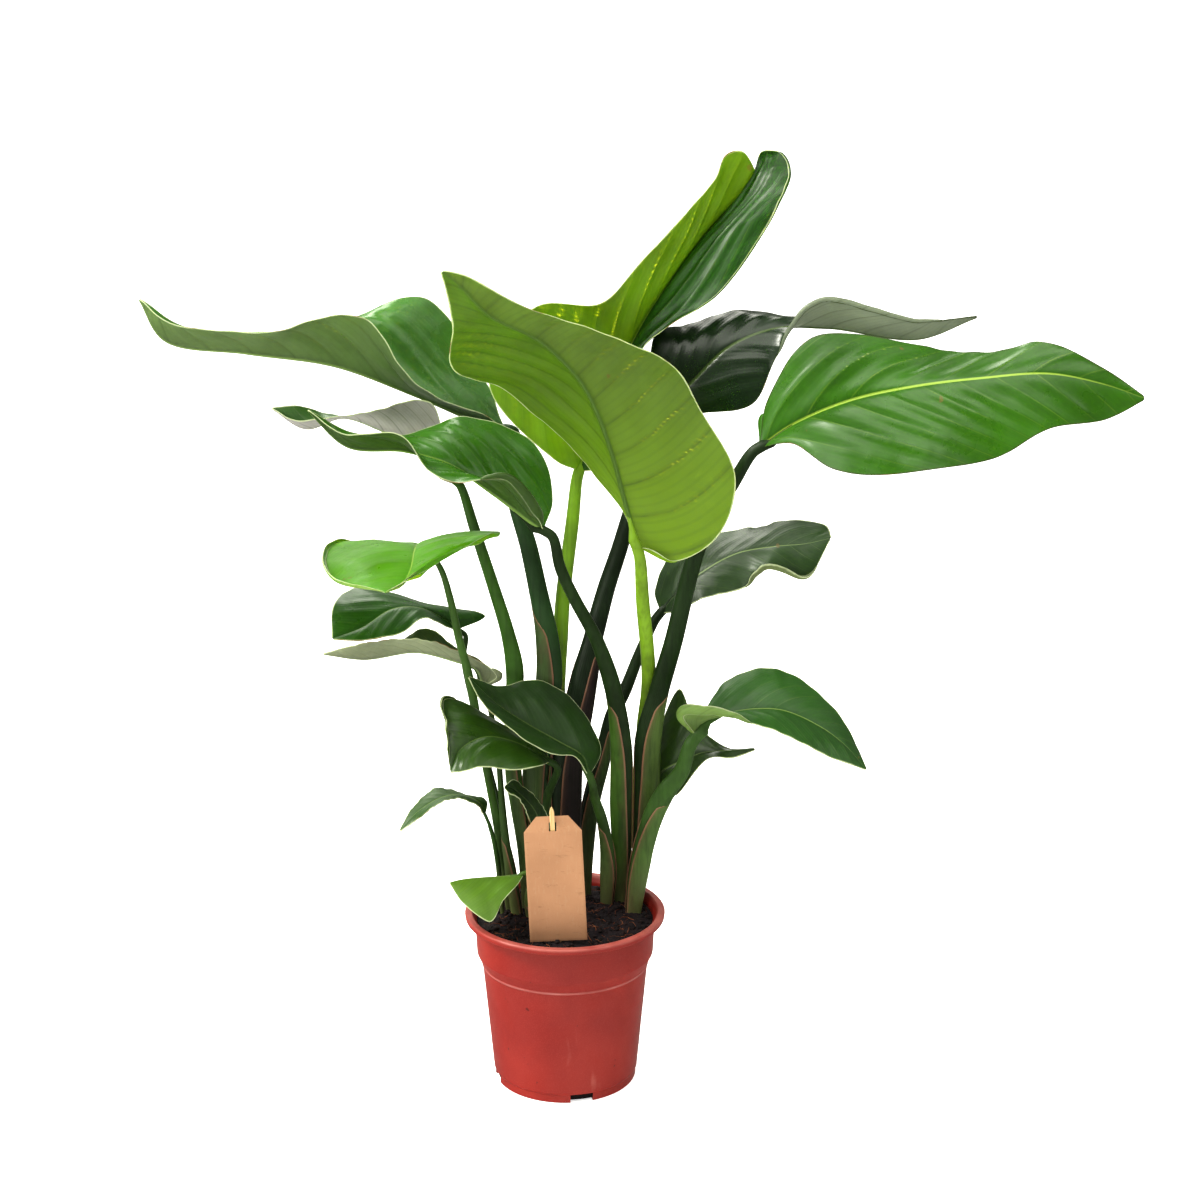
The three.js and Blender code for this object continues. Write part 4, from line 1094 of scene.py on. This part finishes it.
def pot_outline():
    """The pot's (radius, height) outside from the axis to the lip, and its inside back down."""
    p = POT
    lip_foot = p["height"] - p["lip_drop"]
    outer = [
        (0, 0),
        (p["foot_radius"] - 1, 0),
        (p["foot_radius"], 1),
        (p["foot_radius"], p["foot_height"]),
        (p["step_radius"], p["foot_height"] + 1.3),
        (p["shoulder_radius"] - 0.3, p["shoulder_height"] - 2),
        (p["shoulder_radius"] + p["bead_proud"], p["shoulder_height"]),
        (p["shoulder_radius"] + 0.5, p["shoulder_height"] + 1.6),
        (p["collar_radius"], p["collar_height"]),
        (p["neck_radius"], p["neck_height"]),
        (p["neck_radius"] + 1.4, lip_foot - 1),
        (p["lip_radius"] - 0.6, lip_foot),
        (p["lip_radius"], p["height"] - p["lip_round"]),
        (p["lip_radius"] - p["lip_round"], p["height"]),
        (p["lip_inner_radius"], p["height"]),
    ]
    inner = [
        (p["neck_radius"] - p["wall"] + 0.8, lip_foot - 1),
        (p["neck_radius"] - p["wall"], p["neck_height"]),
        (p["collar_radius"] - p["wall"], p["collar_height"] + 0.8),
        (p["shoulder_radius"] - p["wall"], p["shoulder_height"] + 0.8),
        (p["step_radius"] - p["wall"], p["foot_height"] + 2),
        (p["foot_radius"] - p["wall"], p["floor"]),
        (0, p["floor"]),
    ]
    return outer, inner


def lathe(outline, segments):
    """Points and faces of an outline of (radius, height), its ends on the axis, turned about Z."""
    rings = outline[1:-1]
    turns = round_turn(segments)
    points = [(0, 0, outline[0][1])]
    points += [(r * math.cos(t), r * math.sin(t), z) for r, z in rings for t in turns]
    points.append((0, 0, outline[-1][1]))
    crown = len(points) - 1
    faces = quads(len(rings), segments, 1, closed=True)
    faces += fan(0, 1, segments, flip=True) + fan(crown, crown - segments, segments)
    return points, faces


def cut(piece, cutter):
    """Takes the cutter's volume out of a piece and discards the cutter."""
    modifier = piece.modifiers.new("cut", "BOOLEAN")
    modifier.operation = "DIFFERENCE"
    modifier.solver = "EXACT"
    modifier.object = cutter
    evaluated = piece.evaluated_get(bpy.context.evaluated_depsgraph_get())
    mesh = bpy.data.meshes.new_from_object(evaluated)
    piece.modifiers.clear()
    piece.data = mesh
    bpy.data.objects.remove(cutter)


def drain_cutter(radial, width, height, at, angle, round_sides=0):
    """A block, or a round bar with round_sides, across the foot at a distance from the axis."""
    if round_sides:
        ring = [(radial * math.cos(t), radial * math.sin(t)) for t in round_turn(round_sides)]
    else:
        half = width / 2
        ring = [(-radial, -half), (radial, -half), (radial, half), (-radial, half)]
    c, s = math.cos(angle), math.sin(angle)
    points = []
    for z in (-height, height):
        points += [((at + x) * c - y * s, (at + x) * s + y * c, z) for x, y in ring]
    cutter = bpy.data.objects.new("cutter", mesh_of("cutter", points, tube(2, len(ring))))
    bpy.context.scene.collection.objects.link(cutter)
    return cutter


def plastic_material():
    """Injection-moulded terracotta plastic: satin, finely grained, scuffed pale here and there,
    and with a painted highlight in pale patches along the bead and the lip."""
    s = Shader("terracotta_plastic")
    grain = s.noise(900, 2)
    color = s.mottled(9, 4, "80180f", "8e2216", 0.35, 0.65)
    color = s.over(color, "b85044", grain, 0.45, 0.7, 0.0, 0.12)
    color = s.over(color, "b0685c", s.noise(40, 5, stretch=(1, 1, 0.25)), 0.66, 0.78, 0.0, 0.35)
    color = s.over(color, "401210", s.noise(130, 1), 0.76, 0.79, 0.0, 0.7)
    place = s.node("SeparateXYZ", Vector=s.place())
    height = s.math("DIVIDE", place.outputs["Z"], MM)
    from_bead = s.math("ABSOLUTE", s.math("SUBTRACT", height, POT["shoulder_height"]))
    # Painted highlight: pale patches along the shoulder bead and at the top of the lip, where the
    # light catches the ledge and the rim
    highlight_patches = s.step(s.noise(25, 3), 0.3, 0.65, 0.35, 1.0)
    color = s.mix(s.times(highlight_patches, s.step(from_bead, 0.4, 1.9, 0.36, 0.0)), color, "c4908a")
    near_lip = s.step(height, POT["height"] - 3.5, POT["height"] - 0.5, 0.0, 0.4)
    color = s.mix(s.times(highlight_patches, near_lip), color, "c08078")
    waxy = s.step(s.noise(30, 3), 0.3, 0.7, 0.4, 0.5)
    dents = s.bump(s.noise(16, 2), 0.12, 0.001, Normal=s.bump(grain, 0.18, 0.0002))
    return s.finish(color, waxy, dents, 0.45)


outer, inner = pot_outline()
profile = rounded([*outer, *inner], POT["corner_round"])
pot_points, pot_faces = lathe(profile, POT["segments"])
pot_mesh = mesh_of("pot_shell", pot_points, pot_faces)
pot = add_piece("pot_shell", pot_mesh, [plastic_material()], "pot")
for k in range(DRAIN["count"]):
    angle = math.radians(DRAIN["first_angle"] + 360 / DRAIN["count"] * k)
    cut(pot, drain_cutter(DRAIN["reach_in"], DRAIN["width"], DRAIN["height"],
                          POT["foot_radius"], angle))
    cut(pot, drain_cutter(DRAIN["hole_radius"], 0, 2 * POT["floor"], DRAIN["hole_at"],
                          angle + math.pi / DRAIN["count"], 24))
pot.data.shade_smooth()
pot.data.set_sharp_from_angle(angle=math.radians(38))


# Soil

def soil_height(x, y):
    """The loose top: low lumps that even out towards the pot's wall, with crumbs all over."""
    radius, angle = math.hypot(x, y), math.atan2(y, x)
    fade = 1 - (radius / POT["neck_radius"]) ** 4
    lumps = math.sin(3 * angle + radius / 9) + 0.6 * math.cos(5 * angle - radius / 14)
    coarse = noise.noise(Vector((x / 11, y / 11, 0.3)))
    medium = noise.noise(Vector((x / 4.3, y / 4.3, 4.1)))
    fine = noise.noise(Vector((x / 1.9, y / 1.9, 8.7)))
    grain = SOIL["grain"] * (0.8 * coarse + 0.75 * abs(medium) + 0.4 * fine)
    return SOIL["height"] + SOIL["lump"] * fade * lumps + grain


def soil_bed():
    _, wall = pot_outline()
    clear = SOIL["clearance"]
    sides = [(radius - clear, z + clear) for radius, z in wall[-2:0:-1]]
    edge = POT["neck_radius"] - POT["wall"] - clear
    outline = [(0, POT["floor"] + clear), *sides, (0, SOIL["height"])]
    points, faces = lathe(outline, SOIL["segments"])
    points = points[:-1]
    faces = [face for face in faces if len(points) not in face]
    rim = len(points) - SOIL["segments"]
    for k in range(1, SOIL["rings"]):
        radius = edge * (1 - k / SOIL["rings"])
        for t in round_turn(SOIL["segments"]):
            x, y = radius * math.cos(t), radius * math.sin(t)
            points.append((x, y, soil_height(x, y)))
    faces += quads(SOIL["rings"], SOIL["segments"], rim, closed=True)
    middle = len(points)
    points.append((0, 0, soil_height(0, 0)))
    faces += fan(middle, middle - SOIL["segments"], SOIL["segments"])
    return points, faces, edge


def crumb(draw, x, y, size):
    """A small rough clod sunk in the soil."""
    rows, columns = 5, 8
    points = []
    height = soil_height(x, y) + 0.2 * size
    squash = draw.uniform(0.6, 0.95)
    turn = draw.uniform(0, math.pi)
    seed = draw.uniform(0, 90)
    for i in range(1, rows):
        tilt = math.pi * i / rows
        for j in range(columns):
            t = 2 * math.pi * j / columns + turn
            px, py, pz = math.sin(tilt) * math.cos(t), math.sin(tilt) * math.sin(t), -math.cos(tilt)
            rough = 1 + 0.5 * noise.noise(Vector((1.6 * px + seed, 1.6 * py, 1.6 * pz)))
            reach = size * rough
            points.append((x + reach * px, y + reach * py, height + squash * reach * pz))
    points += [(x, y, height - squash * size), (x, y, height + squash * size)]
    foot, top = len(points) - 2, len(points) - 1
    faces = quads(rows - 1, columns, closed=True)
    faces += fan(foot, 0, columns, flip=True) + fan(top, foot - columns, columns)
    return points, faces


def fibre(draw, x, y, length):
    """A thin bent root or straw that lies on the soil."""
    steps, sides, thick = 7, 5, draw.uniform(0.22, 0.5)
    heading = draw.uniform(0, 2 * math.pi)
    bend = draw.uniform(-1.3, 1.3)
    climb = draw.uniform(0.0, 0.22)
    points = []
    for i in range(steps):
        share = i / (steps - 1)
        angle = heading + bend * share
        if i:
            x += length / (steps - 1) * math.cos(angle)
            y += length / (steps - 1) * math.sin(angle)
        radius = thick * (1 - 0.6 * share)
        z = soil_height(x, y) + 0.3 + climb * length * share * (1 - share)
        for t in round_turn(sides):
            points.append((x - radius * math.cos(t) * math.sin(angle),
                           y + radius * math.cos(t) * math.cos(angle), z + radius * math.sin(t)))
    return points, tube(steps, sides), math.hypot(x, y)


# What kind of thing a point of the soil belongs to
BED, CLOD, FIBRE = 0.0, 1.0, 2.0


def soil_material():
    """Damp peat: nearly black, with russet crumbs and straw-coloured fibres."""
    s = Shader("peat")
    kind = s.attribute("kind")
    is_fibre = s.step(kind, CLOD + 0.4, FIBRE - 0.4)
    is_loose = s.step(kind, BED + 0.4, CLOD - 0.4)
    color = s.mix(s.step(s.noise(60, 5, rough=0.65), 0.3, 0.72), "07030a", "1a0c10")
    color = s.over(color, "301812", s.noise(700, 3), 0.5, 0.75, 0.0, 0.6)
    color = s.mix(is_fibre, color, s.mottled(120, 2, "4a2016", "7a4a30", 0.35, 0.65))
    is_clod = s.times(is_loose, s.math("SUBTRACT", 1.0, is_fibre))
    color = s.mix(is_clod, color, s.mottled(220, 3, "0a0508", "20100e", 0.35, 0.65))
    damp = s.step(s.noise(90, 3), 0.3, 0.7, 0.75, 0.98)
    return s.finish(color, damp, s.bump(s.noise(900, 4), 0.7, 0.0008), 0.3)


def soil_mesh():
    draw = random.Random(7)
    points, faces, edge = soil_bed()
    kinds = [BED] * len(points)

    def join(more, more_faces, kind):
        start = len(points)
        points.extend(more)
        kinds.extend([kind] * len(more))
        faces.extend([start + v for v in face] for face in more_faces)

    for _ in range(SOIL["crumbs"]):
        size = draw.uniform(*SOIL["crumb_size"])
        radius = (edge - size - SOIL["crumb_clearance"]) * math.sqrt(draw.random())
        angle = draw.uniform(0, 2 * math.pi)
        join(*crumb(draw, radius * math.cos(angle), radius * math.sin(angle), size), CLOD)
    for _ in range(SOIL["fibres"]):
        radius = (edge - SOIL["fibre_clearance"]) * math.sqrt(draw.random())
        angle = draw.uniform(0, 2 * math.pi)
        length = draw.uniform(*SOIL["fibre_length"])
        straw = fibre(draw, radius * math.cos(angle), radius * math.sin(angle), length)
        if straw[2] < edge - SOIL["crumb_clearance"]:
            join(*straw[:2], FIBRE)
    return mesh_of("soil_bed", points, faces, numbers={"kind": kinds})


add_piece("soil_bed", soil_mesh(), [soil_material()], "soil")


# Card and stick

def placed(points):
    """From the card's own frame, with X across, Y back and Z up from the fold, to the object's."""
    tilt = math.radians(CARD["tilt"])
    c, s = math.cos(tilt), math.sin(tilt)
    points = np.asarray(points, float)
    turned = np.stack([points[:, 0] * c - points[:, 2] * s, points[:, 1],
                       points[:, 0] * s + points[:, 2] * c], axis=1)
    return turned + np.array(CARD["fold_centre"])


def card_mesh():
    """One sheet folded back over the stick, with the slot that it hangs by left open."""
    half = CARD["width"] / 2
    slot_half = CARD["slot_width"] / 2
    slot_low = CARD["slot_from_fold"]
    slot_high = slot_low + CARD["slot_height"]
    lean = math.radians(CARD["flap_lean"])
    bend = CARD["fold_round"]
    across = [*np.linspace(-half, -slot_half, 9), *np.linspace(slot_half, half, 9)]
    middle = list(np.linspace(-slot_half, slot_half, 4)[1:-1])
    across = across[:9] + middle + across[9:]
    up = [*np.linspace(-CARD["panel_height"], -bend, 34), *np.linspace(-bend, slot_low, 5)[1:],
          *np.linspace(slot_low, slot_high, 8)[1:],
          *np.linspace(slot_high, CARD["flap_height"], 6)[1:]]
    points = []
    for v in up:
        bent = lean * min(max((v + bend) / (2 * bend), 0), 1)
        past = max(v - bend, 0)
        if v <= -bend:
            y, z = 0, v
        else:
            y = 2 * bend * (1 - math.cos(bent)) / lean + past * math.sin(lean)
            z = -bend + 2 * bend * math.sin(bent) / lean + past * math.cos(lean)
        taper = max(v - slot_low, 0) / (CARD["flap_height"] - slot_low)
        width = half + (CARD["flap_top_width"] / 2 - half) * taper
        for x in across:
            kept = abs(x) <= slot_half + 1e-6
            reach = x if kept else math.copysign(
                slot_half + (abs(x) - slot_half) / (half - slot_half) * (width - slot_half), x)
            curl = CARD["curl"] * (x / half) ** 2 * min(max(-v, 0) / CARD["panel_height"], 1)
            points.append((reach, y - 0.5 * CARD["thickness"] - curl, z))
    columns = len(across)
    faces = []
    for face in quads(len(up), columns):
        row, column = divmod(face[0], columns)
        in_slot = slot_low - 1e-6 <= up[row] < slot_high - 1e-6
        if not (in_slot and abs(0.5 * (across[column] + across[column + 1])) < slot_half):
            faces.append(face)
    return mesh_of("card", placed(points), faces)


def card_material():
    """Kraft board: brown, with fine pale and dark fibres."""
    s = Shader("kraft_board")
    pale = s.noise(380, 4, stretch=(1, 1, 0.25), rough=0.7)
    dark = s.noise(300, 3, stretch=(0.3, 1, 1), rough=0.7)
    color = s.mottled(20, 3, "9a7457", "a67f61")
    color = s.over(color, "a88c70", pale, 0.5, 0.72, 0.0, 0.3)
    color = s.over(color, "644a38", dark, 0.58, 0.75, 0.0, 0.35)
    dull = s.step(s.noise(20, 3), 0.3, 0.7, 0.78, 0.9)
    return s.finish(color, dull, s.bump(s.noise(520, 4), 0.35, 0.0003), 0.25)


card = add_piece("card", card_mesh(), [card_material()], "tag_card")
board = card.modifiers.new("board", "SOLIDIFY")
board.thickness = CARD["thickness"] * MM
board.offset = 0
edges = card.modifiers.new("edges", "BEVEL")
edges.width = CARD["edge_round"] * MM
edges.segments = 2
edges.angle_limit = math.radians(50)
card.data.set_sharp_from_angle(angle=math.radians(35))


def stick_mesh():
    """A split bamboo skewer: flat and round-cornered, with a joint, and thinned at both ends."""
    rings, sides = 90, 20
    half_width = STICK["width"] / 2
    half_thick = STICK["thickness"] / 2
    middle = half_thick + STICK["behind_card"]
    drift = random.Random(11).uniform(0, 6)
    points, heights = [], []
    for i in range(rings):
        share = i / (rings - 1)
        z = STICK["top_above_fold"] - STICK["length"] * share
        from_end = min(share, 1 - share) * STICK["length"]
        taper = min(1, math.sqrt((from_end + 0.02) / STICK["point"] * 1.6))
        from_joint = (share - STICK["joint_at"]) * STICK["length"] / STICK["joint_length"]
        knot = 1 + STICK["joint_swell"] * math.exp(-from_joint ** 2)
        wide = half_width * taper * (0.94 + 0.03 * math.sin(9 * share + drift)) * knot
        thick = half_thick * (0.35 + 0.65 * taper) * 0.98
        for t in round_turn(sides):
            c, s = math.cos(t), math.sin(t)
            x = wide * math.copysign(abs(c) ** STICK["squareness"], c)
            y = thick * math.copysign(abs(s) ** STICK["squareness"], s)
            points.append((min(max(x, -half_width), half_width), middle + y, z))
            heights.append(share)
    faces = tube(rings, sides, flip=True)
    return mesh_of("stick", placed(points), faces, numbers={"down": heights})


def stick_material():
    """Pale bamboo with darker lines along its grain and a dark joint."""
    s = Shader("bamboo")
    grain = s.noise(700, 4, stretch=(1, 1, 0.02), rough=0.7)
    color = s.mix(s.step(grain, 0.3, 0.7), "b8935f", "d2b98a")
    color = s.over(color, "7a5a34", s.noise(1500, 2, stretch=(1, 1, 0.01)), 0.6, 0.75, 0.0, 0.5)
    joint = s.math("ABSOLUTE", s.math("SUBTRACT", s.attribute("down"), STICK["joint_at"]))
    color = s.over(color, "7a5a34", joint, 0.002, 0.008, 0.6, 0.0)
    dull = s.step(grain, 0.3, 0.7, 0.5, 0.66)
    return s.finish(color, dull, s.bump(grain, 0.4, 0.0003), 0.4)


add_piece("stick", stick_mesh(), [stick_material()], "tag_stick")


# Studio: a white floor, a soft key light from the left, boxes overhead, behind, to the right and to
# the front left, and a sky that is darker in front, so that glossy leaves shine where they face up
# or back. The lights are a little warm, as in the photograph.

FLOOR = {"half_side": 40.0, "glow": 0.7,
         "dark": (0.93, 0.93, 0.93, 1), "light": (0.95, 0.95, 0.95, 1)}
SUN = {"strength": 3.4, "angle": 14, "from": (-1.0, -0.15, 1.0)}
BOXES = {
    "overhead": {"power": 34, "size": 1.6, "at": (-0.3, -0.9, 2.5), "aim": (0.05, 0, 0.55)},
    "back": {"power": 40, "size": 1.3, "at": (-0.5, 1.5, 2.3), "aim": (0, 0, 0.75)},
    "right": {"power": 12, "size": 1.5, "at": (1.35, -0.55, 2.15), "aim": (0, 0, 0.6)},
    "left": {"power": 30, "size": 1.1, "at": (-1.9, -1.7, 1.0), "aim": (0, 0, 0.4)},
}
WARM_WHITE = (1.0, 0.985, 0.91)
WORLD = {"low": 0.24, "high": 0.62, "from": 0.05, "to": 0.65, "back_share": 0.6}
VIEW_GAMMA = 0.86


def floor():
    side = FLOOR["half_side"]
    corners = [(-side, -side, 0), (side, -side, 0), (side, side, 0), (-side, side, 0)]
    mesh = bpy.data.meshes.new("floor")
    mesh.from_pydata(corners, [], [[0, 1, 2, 3]])
    s = Shader("studio_floor")
    color = s.mix(s.noise(2, 2), FLOOR["dark"], FLOOR["light"])
    s.bsdf.inputs["Emission Color"].default_value = (1, 1, 1, 1)
    s.bsdf.inputs["Emission Strength"].default_value = FLOOR["glow"]
    mesh.materials.append(s.finish(color, 0.9, s.bump(s.noise(60, 2), 0.02, 0.0005), 0.1))
    plane = bpy.data.objects.new("floor", mesh)
    bpy.context.scene.collection.objects.link(plane)
    plane.visible_glossy = False


def lamp(kind, name, energy, at, aim=(0, 0, 0)):
    light = bpy.data.lights.new(name, kind)
    light.energy = energy
    light.color = WARM_WHITE
    holder = bpy.data.objects.new(name, light)
    holder.location = at
    holder.rotation_euler = (Vector(at) - Vector(aim)).to_track_quat("Z", "Y").to_euler()
    bpy.context.scene.collection.objects.link(holder)
    return light


floor()
sun = lamp("SUN", "key", SUN["strength"], SUN["from"])
sun.angle = math.radians(SUN["angle"])
for name, box in BOXES.items():
    light = lamp("AREA", name, box["power"], box["at"], box["aim"])
    light.size = box["size"]

scene = bpy.context.scene
world = bpy.data.worlds.new("studio")
scene.world = world
sky = Nodes(world)
towards = sky.node("TexCoord").outputs["Generated"]
parts = sky.node("SeparateXYZ", Vector=towards).outputs
rise = sky.math("MAXIMUM", parts["Z"], sky.times(parts["Y"], WORLD["back_share"]))
strength = sky.step(rise, WORLD["from"], WORLD["to"], WORLD["low"], WORLD["high"])
background = sky.tree.nodes["Background"]
sky.link(strength, background.inputs["Strength"])
background.inputs["Color"].default_value = (*WARM_WHITE, 1)
scene.view_settings.view_transform = "Standard"
scene.view_settings.gamma = VIEW_GAMMA
scene.view_settings.look = "None"

# Camera: a short telephoto a little above the plant, as the photograph was taken

CAMERA = {"lens": 75, "sensor": 36, "at": (0.035, -2.3145, 1.1722), "pitch": -16.2}
eye = bpy.data.cameras.new("camera")
eye.lens = CAMERA["lens"]
eye.sensor_width = CAMERA["sensor"]
camera = bpy.data.objects.new("camera", eye)
camera.location = CAMERA["at"]
camera.rotation_euler = (math.radians(90 + CAMERA["pitch"]), 0, 0)
scene.collection.objects.link(camera)
scene.camera = camera

bpy.context.view_layer.update()
